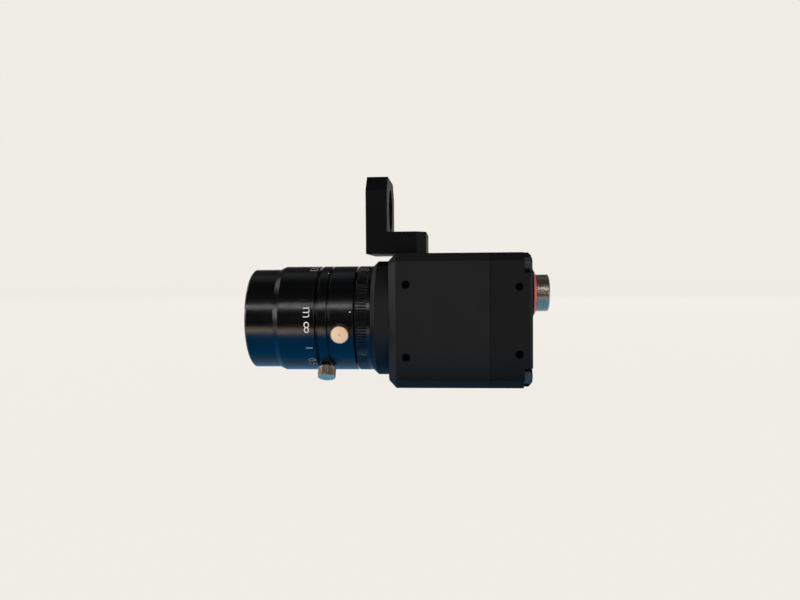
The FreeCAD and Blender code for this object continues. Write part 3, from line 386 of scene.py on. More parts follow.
@dataclass(frozen=True)
class Finish:
    """The finish of one material slot."""

    slot: str
    colour: Colour
    roughness: float
    metallic: float = 0.0
    specular: float = 0.25
    motif: Motif = Motif.PLAIN
    grain: float = 0.0002
    bump: float = 0.2
    mottle: float = 0.25
    edge_radius: float = 0.00012
    wear: float = 0.25
    wear_colour: Colour = (0.05, 0.05, 0.05)
    transmission: float = 0.0
    ior: float = 1.5

    def build(self, effects: SurfaceEffects) -> bpy.types.Material:
        """Make the material.

        Args:
            effects: The shared node groups.

        Returns:
            The finished material.
        """
        material, graph, shader = new_material(self.slot)
        shader.inputs["Metallic"].default_value = self.metallic
        shader.inputs["Specular IOR Level"].default_value = self.specular
        shader.inputs["Transmission Weight"].default_value = self.transmission
        shader.inputs["IOR"].default_value = self.ior
        grain = graph.add("ShaderNodeGroup", node_tree=effects.grain)
        grain.inputs["Grain Size"].default_value = self.grain
        colour = self._pattern(graph, grain)
        self._relief(graph, shader, grain, effects, colour)
        change = self.mottle * ROUGHNESS_CHANGE
        rough = graph.range(grain.outputs["Cloud"], *CLOUD_RANGE,
                            self.roughness * (1.0 - change), self.roughness * (1.0 + change))
        graph.feed(shader.inputs["Roughness"], rough)
        return material

    def _pattern(self, graph: NodeGraph, grain: bpy.types.Node) -> bpy.types.NodeSocket:
        """Give the colour before wear.

        Args:
            graph: The material's graph.
            grain: The grain group's node.

        Returns:
            The colour's socket.
        """
        dark = tuple(channel * (1.0 - self.mottle) for channel in self.colour)
        light = tuple(min(channel * (1.0 + self.mottle), 1.0) for channel in self.colour)
        clouds = graph.range(grain.outputs["Cloud"], *CLOUD_RANGE)
        cloudy = graph.blend(clouds, rgba(dark), rgba(light))
        speckled = graph.range(grain.outputs["Speckle"], *SPECKLE_RANGE)
        gain = 1.0 + self.mottle * FLECK_GAIN
        fleck = tuple(min(channel * gain, 1.0) for channel in self.colour)
        colour = graph.blend(graph.math("MULTIPLY", speckled, FLECK_SHARE), cloudy, rgba(fleck))
        if self.motif is Motif.BOARD:
            return self._tracks(graph, colour)
        if self.motif is Motif.SENSOR:
            return self._die(graph, colour)
        return colour

    @staticmethod
    def _tracks(graph: NodeGraph, base: bpy.types.NodeSocket) -> bpy.types.NodeSocket:
        """Lay copper tracks under a circuit board's solder mask.

        Args:
            graph: The material's graph.
            base: The mask's colour.

        Returns:
            The colour with the tracks.
        """
        cells = graph.add("ShaderNodeTexVoronoi", distance="MANHATTAN", feature="DISTANCE_TO_EDGE")
        graph.feed(cells.inputs["Vector"], graph.place())
        graph.feed(cells.inputs["Scale"], TRACK_CELLS_A_METRE)
        track = graph.range(cells.outputs["Distance"], *TRACK_EDGE_RANGE, 1.0, 0.0)
        return graph.blend(graph.math("MULTIPLY", track, TRACK_SHARE), base, rgba(TRACK_COLOUR))

    @staticmethod
    def _die(graph: NodeGraph, base: bpy.types.NodeSocket) -> bpy.types.NodeSocket:
        """Give the sensor its dark, faintly banded die.

        Args:
            graph: The material's graph.
            base: The package's colour.

        Returns:
            The colour with the die.
        """
        bands = graph.add("ShaderNodeTexWave", bands_direction="Z")
        graph.feed(bands.inputs["Vector"], graph.place())
        graph.feed(bands.inputs["Scale"], DIE_BANDS_A_METRE)
        die = graph.blend(bands.outputs["Fac"], *(rgba(colour) for colour in DIE_COLOURS))
        return graph.blend(DIE_SHARE, base, die)

    def _relief(self, graph: NodeGraph, shader: bpy.types.Node, grain: bpy.types.Node,
                effects: SurfaceEffects, colour: bpy.types.NodeSocket) -> None:
        """Add wear, softened edges and fine relief.

        Args:
            graph: The material's graph.
            shader: The Principled shader's node.
            grain: The grain group's node.
            effects: The shared node groups.
            colour: The colour before wear.
        """
        edges = graph.add("ShaderNodeGroup", node_tree=effects.edges)
        edges.inputs["Radius"].default_value = self.edge_radius
        worn = graph.math("MULTIPLY", edges.outputs["Wear"], self.wear)
        graph.feed(shader.inputs["Base Color"],
                   graph.blend(worn, colour, rgba(self.wear_colour)))
        height = grain.outputs["Speckle"]
        if self.motif is Motif.TURNED:
            rings = graph.add("ShaderNodeGroup", node_tree=effects.turning)
            height = graph.math("ADD", graph.math("MULTIPLY", height, GRAIN_BESIDE_RINGS),
                                rings.outputs["Height"])
        edges.inputs["Strength"].default_value = self.bump
        edges.inputs["Distance"].default_value = self.grain * RELIEF_HEIGHT
        graph.feed(edges.inputs["Height"], height)
        graph.feed(shader.inputs["Normal"], edges.outputs["Normal"])


FINISHES: tuple[Finish, ...] = (
    Finish("body_finish", (0.0094, 0.0092, 0.0090), 0.58, specular=0.10,
           bump=0.35, mottle=0.06, wear=0.35),
    Finish("cover_finish", (0.0064, 0.0062, 0.0061), 0.58, specular=0.09,
           bump=0.35, mottle=0.06, wear=0.35),
    Finish("bracket_finish", (0.0025, 0.0027, 0.0031), 0.50, specular=0.06,
           bump=0.3, mottle=0.08, wear=0.3),
    Finish("lens_finish", (0.0011, 0.0011, 0.0015), 0.20, specular=0.32, motif=Motif.TURNED,
           grain=0.00028, bump=0.6, mottle=0.2, wear=0.25),
    Finish("lens_inner_black", (0.004, 0.004, 0.004), 0.6, specular=0.2, motif=Motif.TURNED),
    Finish("screw_steel", (0.045, 0.045, 0.048), 0.38, metallic=0.85,
           wear=0.6, wear_colour=(0.22, 0.21, 0.2)),
    Finish("pin_steel", (0.5, 0.5, 0.5), 0.3, metallic=1.0),
    Finish("blade_steel", (0.02, 0.02, 0.02), 0.5, metallic=0.6),
    Finish("thumb_screw_steel", (0.50, 0.39, 0.28), 0.30, metallic=1.0,
           mottle=0.08, bump=0.15, wear=0.4, wear_colour=(0.85, 0.78, 0.68)),
    Finish("nickel_plate", (0.44, 0.42, 0.37), 0.3, metallic=1.0, mottle=0.12, bump=0.15,
           wear=0.3, wear_colour=(0.75, 0.72, 0.66)),
    Finish("gold_plate", (0.83, 0.56, 0.2), 0.25, metallic=1.0, mottle=0.1),
    Finish("spacer_brass", (0.62, 0.44, 0.2), 0.35, metallic=1.0, mottle=0.1),
    Finish("red_seal", (0.62, 0.12, 0.09), 0.42, specular=0.4, wear=0.0),
    Finish("gasket_rubber", (0.002, 0.002, 0.002), 0.8, specular=0.1),
    Finish("insert_plastic", (0.012, 0.012, 0.013), 0.45),
    Finish("light_pipe_plastic", (0.75, 0.8, 0.76), 0.2, specular=0.5, transmission=0.6,
           ior=1.49, wear=0.0),
    Finish("filter_glass", (0.72, 0.9, 0.95), 0.02, transmission=1.0, ior=1.52, bump=0.0,
           mottle=0.0, wear=0.0, specular=0.5),
    Finish("sensor_cover_glass", (0.95, 0.98, 0.98), 0.02, transmission=1.0, ior=1.52,
           bump=0.0, mottle=0.0, wear=0.0, specular=0.5),
    Finish("lens_glass", (0.93, 0.97, 0.98), 0.01, transmission=1.0, ior=1.6, bump=0.0,
           mottle=0.0, wear=0.0, specular=0.5),
    Finish("sensor_ceramic", (0.2, 0.2, 0.18), 0.3, motif=Motif.SENSOR),
    Finish("board_laminate", (0.01, 0.11, 0.035), 0.35, motif=Motif.BOARD),
    Finish("chip_plastic", (0.02, 0.02, 0.02), 0.5),
)
PAINT = Finish("scale_paint", (0.80, 0.79, 0.76), 0.5, mottle=0.06, bump=0.1, wear=0.0,
               edge_radius=0.00002)


class Workshop:
    """Holds the finishes and puts them on pieces."""

    def __init__(self, frame: dict) -> None:
        """Build every finish.
        """
        self.frame = frame
        self.effects = SurfaceEffects()
        self.materials = {finish.slot: finish.build(self.effects) for finish in FINISHES}
        self.paint = PAINT.build(self.effects)

    def dress_nodes(self) -> None:
        """Give each carried-over node the finish of its material slot."""
        for row in self.frame["record"]["subparts"]:
            node = self.frame["nodes"][row["node"]]
            material = self.materials[row["material_slot"]]
            for slot in node.material_slots:
                slot.link = "OBJECT"
                slot.material = material
            if not node.material_slots:
                node.data.materials.append(material)
        LOG.info("dressed %d nodes", len(self.frame["nodes"]))

    def settle(self, piece: bpy.types.Object, body: str, slot: str,
               replaces: tuple[str, ...] = ()) -> bpy.types.Object:
        """Fix a finished piece to its body and name its slot.

        Args:
            piece: The finished piece.
            body: The body that it rides on.
            slot: The record's material slot that it takes its finish from.
            replaces: The nodes that it stands for.

        Returns:
            The same piece.
        """
        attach(piece, body)
        if replaces:
            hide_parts(*replaces)
        LOG.info("made %s on %s", piece.name, body)
        return piece


def new_piece(name: str, mesh: bpy.types.Mesh) -> bpy.types.Object:
    """Put a mesh into the scene as an object at the origin.

    Args:
        name: The object's name.
        mesh: Its mesh.

    Returns:
        The object.
    """
    piece = bpy.data.objects.new(name, mesh)
    bpy.context.scene.collection.objects.link(piece)
    return piece


def finished_mesh(name: str, shape: bmesh.types.BMesh) -> bpy.types.Mesh:
    """Make a mesh from a shape, and free the shape.

    Args:
        name: The mesh's name.
        shape: The shape.

    Returns:
        The mesh.
    """
    mesh = bpy.data.meshes.new(name)
    shape.to_mesh(mesh)
    shape.free()
    return mesh


def shade_by_angle(mesh: bpy.types.Mesh, degrees: float) -> None:
    """Shade a mesh smooth, with sharp edges where its faces meet at more than an angle.

    Args:
        mesh: The mesh to shade.
        degrees: The angle above which an edge stays sharp.
    """
    mesh.polygons.foreach_set("use_smooth", [True] * len(mesh.polygons))
    mesh.set_sharp_from_angle(angle=math.radians(degrees))


@dataclass(frozen=True)
class Ring:
    """One ring of a turned shape: its place along the axis, its radius and its sides."""

    x: float
    radius: float
    sides: int = 0

    def reach(self, angle: float) -> float:
        """Give the ring's distance from the axis at an angle.

        Args:
            angle: The angle round the axis, in radians.

        Returns:
            The distance; a ring with sides has its corners at the stated radius.
        """
        if not self.sides:
            return self.radius
        half = math.pi / self.sides
        return self.radius * math.cos(half) / math.cos(angle % (2.0 * half) - half)


def fine_rings(start: float, end: float, radius: float, spacing: float) -> list[Ring]:
    """Space rings closely along a plain cylinder, so that grooves can be cut in it.

    Args:
        start: Where the cylinder starts.
        end: Where it ends.
        radius: Its radius.
        spacing: The most that two rings are apart.

    Returns:
        The rings, from start to end.
    """
    count = max(1, math.ceil(abs(end - start) / spacing))
    return [Ring(start + (end - start) * step / count, radius) for step in range(count + 1)]


def turned_mesh(name: str, rings: list[Ring], segments: int) -> bpy.types.Mesh:
    """Turn a shape about the X axis from its rings, closed at every seam and pole.

    Args:
        name: The mesh's name.
        rings: The rings in order. A tube's last ring joins its first.
        segments: How many points each ring has.

    Returns:
        The mesh, with its faces outwards.
    """
    shape = bmesh.new()
    loops = []
    for ring in rings:
        if ring.radius == 0.0:
            loops.append([shape.verts.new((ring.x, 0.0, 0.0))])
            continue
        loop = []
        for step in range(segments):
            angle = 2.0 * math.pi * step / segments
            reach = ring.reach(angle)
            loop.append(shape.verts.new((ring.x, reach * math.cos(angle), reach * math.sin(angle))))
        loops.append(loop)
    pairs = list(zip(loops, loops[1:]))
    if len(loops[0]) > 1 and len(loops[-1]) > 1:
        pairs.append((loops[-1], loops[0]))
    for first, second in pairs:
        for step in range(segments):
            following = (step + 1) % segments
            corners = [first[step % len(first)], first[following % len(first)],
                       second[following % len(second)], second[step % len(second)]]
            shape.faces.new(list(dict.fromkeys(corners)))
    bmesh.ops.recalc_face_normals(shape, faces=shape.faces)
    return finished_mesh(name, shape)


class GeometryTrees:
    """Geometry Nodes trees for the grooves and the repeats of this camera."""

    def __init__(self) -> None:
        """Build each tree once."""
        self.grooves = self._make_grooves()
        self.round = self._make_round()

    @staticmethod
    def _start(name: str, inputs: dict[str, str]) -> tuple[NodeGraph, bpy.types.Node,
                                                           bpy.types.Node]:
        """Start a geometry tree with named inputs.

        Args:
            name: The tree's name.
            inputs: Each input's name and its socket type.

        Returns:
            The tree's graph, its input node and its output node.
        """
        tree = bpy.data.node_groups.new(name, "GeometryNodeTree")
        tree.is_modifier = True
        tree.interface.new_socket("Geometry", in_out="INPUT", socket_type="NodeSocketGeometry")
        for title, kind in inputs.items():
            tree.interface.new_socket(title, in_out="INPUT", socket_type=kind)
        tree.interface.new_socket("Geometry", in_out="OUTPUT", socket_type="NodeSocketGeometry")
        graph = NodeGraph(tree)
        return graph, graph.add("NodeGroupInput"), graph.add("NodeGroupOutput")

    @staticmethod
    def _end(graph: NodeGraph, given: bpy.types.Node, result: bpy.types.Node,
             geometry: bpy.types.NodeSocket) -> None:
        """Finish a tree with real geometry that has its material.

        Args:
            graph: The tree's graph.
            given: The tree's input node.
            result: The tree's output node.
            geometry: The geometry to finish.
        """
        real = graph.add("GeometryNodeRealizeInstances")
        graph.feed(real.inputs["Geometry"], geometry)
        dressed = graph.add("GeometryNodeSetMaterial")
        graph.feed(dressed.inputs["Geometry"], real.outputs["Geometry"])
        graph.feed(dressed.inputs["Material"], given.outputs["Material"])
        graph.feed(result.inputs["Geometry"], dressed.outputs["Geometry"])

    def _make_grooves(self) -> bpy.types.NodeTree:
        """Build the tree that cuts a screw thread or straight flutes into a cylinder.

        Returns:
            The tree.
        """
        floats = ("Start", "End", "Run Out", "Radius", "Depth", "Grooves A Metre",
                  "Grooves A Turn", "Land")
        graph, given, result = self._start(
            "cut_grooves", {**dict.fromkeys(floats, "NodeSocketFloat"),
                            "Material": "NodeSocketMaterial"})
        place = graph.add("GeometryNodeInputPosition").outputs[0]
        parts = graph.add("ShaderNodeSeparateXYZ")
        graph.feed(parts.inputs[0], place)
        across = graph.add("ShaderNodeVectorMath", operation="MULTIPLY")
        graph.feed(across.inputs[0], place)
        graph.feed(across.inputs[1], (0.0, 1.0, 1.0))
        away = graph.add("ShaderNodeVectorMath", operation="LENGTH")
        graph.feed(away.inputs[0], across.outputs[0])
        turn = graph.math("DIVIDE", graph.math("ARCTAN2", parts.outputs["Z"], parts.outputs["Y"]),
                          2.0 * math.pi)
        along = graph.math("MULTIPLY", parts.outputs["X"], given.outputs["Grooves A Metre"])
        phase = graph.math("SUBTRACT", along,
                           graph.math("MULTIPLY", turn, given.outputs["Grooves A Turn"]))
        wave = graph.math("MULTIPLY", graph.math("PINGPONG", phase, 0.5), 2.0)
        above = graph.math("SUBTRACT", wave, given.outputs["Land"])
        rest = graph.math("SUBTRACT", 1.0, given.outputs["Land"])
        groove = graph.math("DIVIDE", above, rest, clamp=True)
        inset = graph.math("SUBTRACT", parts.outputs["X"], given.outputs["Start"])
        left = graph.math("SUBTRACT", given.outputs["End"], parts.outputs["X"])
        fade = graph.math("DIVIDE", graph.math("MINIMUM", inset, left),
                          given.outputs["Run Out"], clamp=True)
        on_wall = graph.math("COMPARE", away.outputs["Value"], given.outputs["Radius"],
                             WALL_TOLERANCE)
        cut = graph.math("MULTIPLY", graph.math("MULTIPLY", groove, fade), on_wall)
        depth = graph.math("MULTIPLY", cut, given.outputs["Depth"])
        inward = graph.add("ShaderNodeVectorMath", operation="NORMALIZE")
        graph.feed(inward.inputs[0], across.outputs[0])
        shift = graph.add("ShaderNodeVectorMath", operation="SCALE")
        graph.feed(shift.inputs[0], inward.outputs[0])
        graph.feed(shift.inputs["Scale"], graph.math("MULTIPLY", depth, -1.0))
        moved = graph.add("GeometryNodeSetPosition")
        graph.feed(moved.inputs["Geometry"], given.outputs["Geometry"])
        graph.feed(moved.inputs["Offset"], shift.outputs[0])
        self._end(graph, given, result, moved.outputs["Geometry"])
        return graph.tree

    def _make_round(self) -> bpy.types.NodeTree:
        """Build the tree that repeats a piece round the X axis.

        Returns:
            The tree.
        """
        graph, given, result = self._start(
            "repeat_round", {"Count": "NodeSocketInt", "First Angle": "NodeSocketFloat",
                             "Step": "NodeSocketFloat", "Material": "NodeSocketMaterial"})
        points = graph.add("GeometryNodePoints")
        graph.feed(points.inputs["Count"], given.outputs["Count"])
        index = graph.add("GeometryNodeInputIndex").outputs[0]
        angle = graph.math("MULTIPLY_ADD", index, given.outputs["Step"],
                           given.outputs["First Angle"])
        turned = graph.add("ShaderNodeCombineXYZ")
        graph.feed(turned.inputs["X"], angle)
        copies = graph.add("GeometryNodeInstanceOnPoints")
        graph.feed(copies.inputs["Points"], points.outputs[0])
        graph.feed(copies.inputs["Instance"], given.outputs["Geometry"])
        rotation = graph.add("FunctionNodeEulerToRotation")
        graph.feed(rotation.inputs[0], turned.outputs[0])
        graph.feed(copies.inputs["Rotation"], rotation.outputs[0])
        self._end(graph, given, result, copies.outputs["Instances"])
        return graph.tree

    @staticmethod
    def run(mesh: bpy.types.Mesh, tree: bpy.types.NodeTree,
            settings: dict[str, object]) -> bpy.types.Mesh:
        """Run a tree on a mesh and keep the result as a plain mesh.

        Args:
            mesh: The mesh to work on.
            tree: The geometry tree.
            settings: The value of each of the tree's inputs, by name.

        Returns:
            The plain mesh.
        """
        worker = new_piece(mesh.name + "_worker", mesh)
        modifier = worker.modifiers.new(tree.name, "NODES")
        modifier.node_group = tree
        for item in tree.interface.items_tree:
            if item.item_type == "SOCKET" and item.in_out == "INPUT" and item.name in settings:
                modifier[item.identifier] = settings[item.name]
        graph = bpy.context.evaluated_depsgraph_get()
        made = bpy.data.meshes.new_from_object(worker.evaluated_get(graph))
        made.name = mesh.name + "_made"
        worker.modifiers.remove(modifier)
        bpy.data.objects.remove(worker)
        return made

    def grooved(self, mesh: bpy.types.Mesh, material: bpy.types.Material, start: float,
                end: float, radius: float, depth: float, pitch: float = 0.0, flutes: int = 0,
                land: float = 0.15) -> bpy.types.Mesh:
        """Cut a screw thread, or straight flutes, into one cylinder of a mesh.

        Args:
            mesh: A turned mesh with closely spaced points on that cylinder.
            material: The piece's material.
            start: Where the grooves start along X.
            end: Where they end.
            radius: The cylinder's radius.
            depth: How far the grooves reach towards the axis.
            pitch: The thread's pitch, or 0 for flutes.
            flutes: The number of flutes, or 0 for a thread.
            land: The share of each ridge that stays uncut.

        Returns:
            The grooved mesh.
        """
        return self.run(mesh, self.grooves, {
            "Start": start, "End": end, "Run Out": GROOVE_RUN_OUT, "Radius": radius,
            "Depth": depth, "Grooves A Metre": 1.0 / pitch if pitch else 0.0,
            "Grooves A Turn": float(flutes or 1), "Land": land, "Material": material})


@dataclass(frozen=True)
class LensFrame:
    """Where the lens axis and the body's front face are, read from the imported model."""

    origin: Vector

    @classmethod
    def measured(cls, boss_length: float) -> LensFrame:
        """Find the frame from the boxes of the housing and the focus ring.

        Args:
            boss_length: How far the lens boss stands in front of the body's face.

        Returns:
            The frame.
        """
        housing_low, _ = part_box("front_housing")
        ring_low, ring_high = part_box("focus_ring")
        height = (ring_low.z + ring_high.z) / 2.0
        return cls(Vector((housing_low.x + boss_length, 0.0, height)))

    def seat(self, mesh: bpy.types.Mesh, turned: Matrix | None = None) -> bpy.types.Mesh:
        """Move a mesh from the lens frame into the frame of the whole.

        Args:
            mesh: A mesh in the lens frame.
            turned: A turn or move to make first.

        Returns:
            The same mesh.
        """
        mesh.transform(Matrix.Translation(self.origin) @ (turned or Matrix.Identity(4)))
        return mesh


def outward_matrix(x: float, degrees: float) -> Matrix:
    """Turn the X axis to point away from the lens axis.

    Args:
        x: The place along the lens axis.
        degrees: The direction, from -Y towards +Z.

    Returns:
        The matrix.
    """
    angle = math.radians(degrees)
    outward = Vector((0.0, -math.cos(angle), math.sin(angle)))
    along = Vector((1.0, 0.0, 0.0))
    third = outward.cross(along)
    turn = Matrix((outward, along, third)).transposed().to_4x4()
    return Matrix.Translation((x, 0.0, 0.0)) @ turn


@dataclass
class Assembly:
    """What every sub-assembly works with."""

    shop: Workshop
    trees: GeometryTrees
    lens: LensFrame


@dataclass
class CableSocket(Assembly):
    """The round threaded socket on the rear face."""

    height: float = 7.65 * MM
    inside: float = 32.4 * MM
    shoulder: float = 44.8 * MM
    end: float = 49.0 * MM
    thread_radius: float = 5.85 * MM
    neck_radius: float = 5.6 * MM
    bore_radius: float = 4.95 * MM
    bore_chamfer: float = 0.2 * MM
    tip_length: float = 0.35 * MM
    tip_chamfer: float = 0.4 * MM
    pitch: float = 0.5 * MM
    thread_depth: float = 0.27 * MM
    rings_a_turn: int = 10
    segments: int = 96

    def build(self) -> None:
        """Make the shell with its real screw thread in place of the plain one."""
        thread_end = self.end - self.tip_length
        rings = [Ring(self.inside, self.bore_radius),
                 Ring(self.end - self.bore_chamfer, self.bore_radius),
                 Ring(self.end, self.bore_radius + self.bore_chamfer),
                 Ring(self.end, self.thread_radius - self.tip_chamfer)]
        rings += fine_rings(thread_end, self.shoulder, self.thread_radius,
                            self.pitch / self.rings_a_turn)
        rings += [Ring(self.shoulder, self.neck_radius), Ring(self.inside, self.neck_radius)]
        metal = self.shop.materials["nickel_plate"]
        mesh = turned_mesh("socket_shell", rings, self.segments)
        mesh = self.trees.grooved(mesh, metal, self.shoulder, thread_end, self.thread_radius,
                                  self.thread_depth, pitch=self.pitch)
        shade_by_angle(mesh, THREAD_ANGLE)
        self.lens.seat(mesh, Matrix.Translation((0.0, 0.0, self.height)))
        self.shop.settle(new_piece("socket_shell", mesh), "camera", "nickel_plate",
                         ("connector_shell",))


@dataclass
class FilterMouth(Assembly):
    """The screw thread in the mouth of the lens."""

    start: float = -43.8 * MM
    end: float = -41.62 * MM
    wall_radius: float = 13.24 * MM
    root_radius: float = 13.2 * MM
    pitch: float = 0.5 * MM
    thread_depth: float = 0.26 * MM
    rings_a_turn: int = 8
    segments: int = 160

    def build(self) -> None:
        """Make the thread as a thin sleeve against the wall of the mouth."""
        rings = [Ring(self.start, self.wall_radius)]
        rings += fine_rings(self.start, self.end, self.root_radius,
                            self.pitch / self.rings_a_turn)
        rings += [Ring(self.end, self.wall_radius)]
        finish = self.shop.materials["lens_finish"]
        mesh = turned_mesh("filter_thread", rings, self.segments)
        mesh = self.trees.grooved(mesh, finish, self.start, self.end, self.root_radius,
                                  self.thread_depth, pitch=self.pitch)
        shade_by_angle(mesh, THREAD_ANGLE)
        self.shop.settle(new_piece("filter_thread", self.lens.seat(mesh)), "front_barrel",
                         "lens_finish")


@dataclass(frozen=True)
class HolePair:
    """Where one set of tapped hole pairs is, and on how many faces."""

    x: float
    offset: float
    first_degrees: float
    faces: int


@dataclass
class TappedHoles(Assembly):
    """Screw threads in the tapped hole pairs of the long faces."""

    half_side: float = 20.0 * MM
    start: float = 0.1 * MM
    depth: float = 3.8 * MM
    wall_radius: float = 1.295 * MM
    root_radius: float = 1.285 * MM
    thread_depth: float = 0.14 * MM
    pitch: float = 0.5 * MM
    rings_a_turn: int = 6
    segments: int = 40
    pairs: tuple[HolePair, ...] = (HolePair(5.2 * MM, 10.7 * MM, -90.0, 3),
                                   HolePair(38.3 * MM, 9.9 * MM, 0.0, 4))

    def build(self) -> None:
        """Make one thread a hole, repeated round the body."""
        finish = self.shop.materials["body_finish"]
        for number, pair in enumerate(self.pairs, start=1):
            name = f"tapped_holes_{number}"
            whole = bmesh.new()
            for side in (1.0, -1.0):
                sleeve = self._sleeve(finish)
                inward = Matrix.Rotation(-QUARTER_TURN, 4, "Y")
                place = Matrix.Translation((pair.x, pair.offset * side, -self.half_side))
                sleeve.transform(place @ inward)
                whole.from_mesh(sleeve)
            mesh = self.trees.run(finished_mesh(name, whole), self.trees.round, {
                "Count": pair.faces, "First Angle": math.radians(pair.first_degrees),
                "Step": QUARTER_TURN, "Material": finish})
            shade_by_angle(mesh, THREAD_ANGLE)
            self.shop.settle(new_piece(name, self.lens.seat(mesh)), "camera", "body_finish")

    def _sleeve(self, finish: bpy.types.Material) -> bpy.types.Mesh:
        """Make one hole's thread along X, starting at the face.

        Args:
            finish: The sleeve's material.

        Returns:
            The mesh.
        """
        rings = [Ring(self.start, self.wall_radius)]
        rings += fine_rings(self.start, self.depth, self.root_radius,
                            self.pitch / self.rings_a_turn)
        rings += [Ring(self.depth, self.wall_radius)]
        mesh = turned_mesh("hole_thread", rings, self.segments)
        return self.trees.grooved(mesh, finish, self.start, self.depth, self.root_radius,
                                  self.thread_depth, pitch=self.pitch)


@dataclass
class CoverScrews(Assembly):
    """The four knurled socket screws in the corners of the rear cover."""

    offset: float = 16.4 * MM
    tip: float = 21.8 * MM
    seat: float = 39.7 * MM
    top: float = 42.2 * MM
    stem_radius: float = 1.25 * MM
    head_radius: float = 2.25 * MM
    socket_radius: float = 1.15 * MM
    socket_depth: float = 1.35 * MM
    socket_sides: int = 6
    socket_chamfer_width: float = 0.1 * MM
    socket_chamfer_depth: float = 0.08 * MM
    socket_point: float = 0.35 * MM
    tip_chamfer: float = 0.2 * MM
    seat_edge: float = 0.1 * MM
    knurl_after_seat: float = 0.15 * MM
    knurl_before_top: float = 0.45 * MM
    knurl_depth: float = 0.11 * MM
    knurl_land: float = 0.3
    knurls: int = 32
    points_a_knurl: int = 6
    ring_spacing: float = 0.12 * MM
    screws: int = 4

    def build(self) -> None:
        """Make one screw and repeat it at the four corners."""
        knurl_start = self.seat + self.knurl_after_seat
        knurl_end = self.top - self.knurl_before_top
        rings = [Ring(self.tip, 0.0), Ring(self.tip, self.stem_radius - self.tip_chamfer),
                 Ring(self.tip + self.tip_chamfer, self.stem_radius),
                 Ring(self.seat, self.stem_radius),
                 Ring(self.seat, self.head_radius - self.seat_edge)]
        rings += fine_rings(knurl_start, knurl_end, self.head_radius, self.ring_spacing)
        rings += self._crown(knurl_end) + self._socket()
        steel = self.shop.materials["screw_steel"]
        mesh = turned_mesh("cover_screw", rings, self.knurls * self.points_a_knurl)
        mesh = self.trees.grooved(mesh, steel, knurl_start, knurl_end, self.head_radius,
                                  self.knurl_depth, flutes=self.knurls, land=self.knurl_land)
        mesh.transform(Matrix.Translation((0.0, self.offset, self.offset)))
        mesh = self.trees.run(mesh, self.trees.round, {
            "Count": self.screws, "First Angle": 0.0, "Step": QUARTER_TURN, "Material": steel})
        shade_by_angle(mesh, KNURL_ANGLE)
        self.shop.settle(new_piece("knurled_cover_screws", self.lens.seat(mesh)), "camera",
                         "screw_steel", ("cover_screws",))

    def _crown(self, knurl_end: float) -> list[Ring]:
        """Give the rings of the head's rounded edge.

        Args:
            knurl_end: Where the knurls end.

        Returns:
            The rings, from the knurls to the top face.
        """
        return [Ring(knurl_end + 0.02 * MM, self.head_radius - 0.01 * MM),
                Ring(self.top - 0.12 * MM, self.head_radius - 0.08 * MM),
                Ring(self.top, self.head_radius - 0.28 * MM)]

    def _socket(self) -> list[Ring]:
        """Give the rings of the six-sided socket and its drill point.

        Returns:
            The rings, from the top face to the axis.
        """
        floor = self.top - self.socket_depth
        return [Ring(self.top, self.socket_radius + self.socket_chamfer_width),
                Ring(self.top - self.socket_chamfer_depth, self.socket_radius,
                     self.socket_sides),
                Ring(floor, self.socket_radius, self.socket_sides),
                Ring(floor - self.socket_point, 0.0)]


@dataclass
class GripRing(Assembly):
    """The ribbed ring by which the lens is screwed to the body."""

    front: float = -10.3 * MM
    rear: float = -5.75 * MM
    rib_end: float = -6.9 * MM
    radius: float = 16.53 * MM
    bore_radius: float = 15.4 * MM
    rib_depth: float = 0.34 * MM
    rib_land: float = 0.5
    edge: float = 0.12 * MM
    band_step: float = 0.01 * MM
    ring_spacing: float = 0.15 * MM
    ribs: int = 114
    points_a_rib: int = 8

    def build(self) -> None:
        """Make the ring with its ribs cut round the front part."""
        rib_start = self.front + self.edge
        rings = [Ring(self.front, self.bore_radius), Ring(self.front, self.radius - self.edge)]
        rings += fine_rings(rib_start, self.rib_end, self.radius, self.ring_spacing)
        rings += [Ring(self.rear - self.edge, self.radius - self.band_step),
                  Ring(self.rear, self.radius - self.edge), Ring(self.rear, self.bore_radius)]
        finish = self.shop.materials["lens_finish"]
        mesh = turned_mesh("grip_ring", rings, self.ribs * self.points_a_rib)
        mesh = self.trees.grooved(mesh, finish, rib_start, self.rib_end, self.radius,
                                  self.rib_depth, flutes=self.ribs, land=self.rib_land)
        shade_by_angle(mesh, RIB_ANGLE)
        self.shop.settle(new_piece("grip_ring", self.lens.seat(mesh)), "camera", "lens_finish",
                         ("mount_grip_ring",))


@dataclass(frozen=True)
class ThumbScrew:
    """Where one knurled thumb screw is and how deep its tip goes."""

    name: str
    node: str
    x: float
    degrees: float
    tip: float


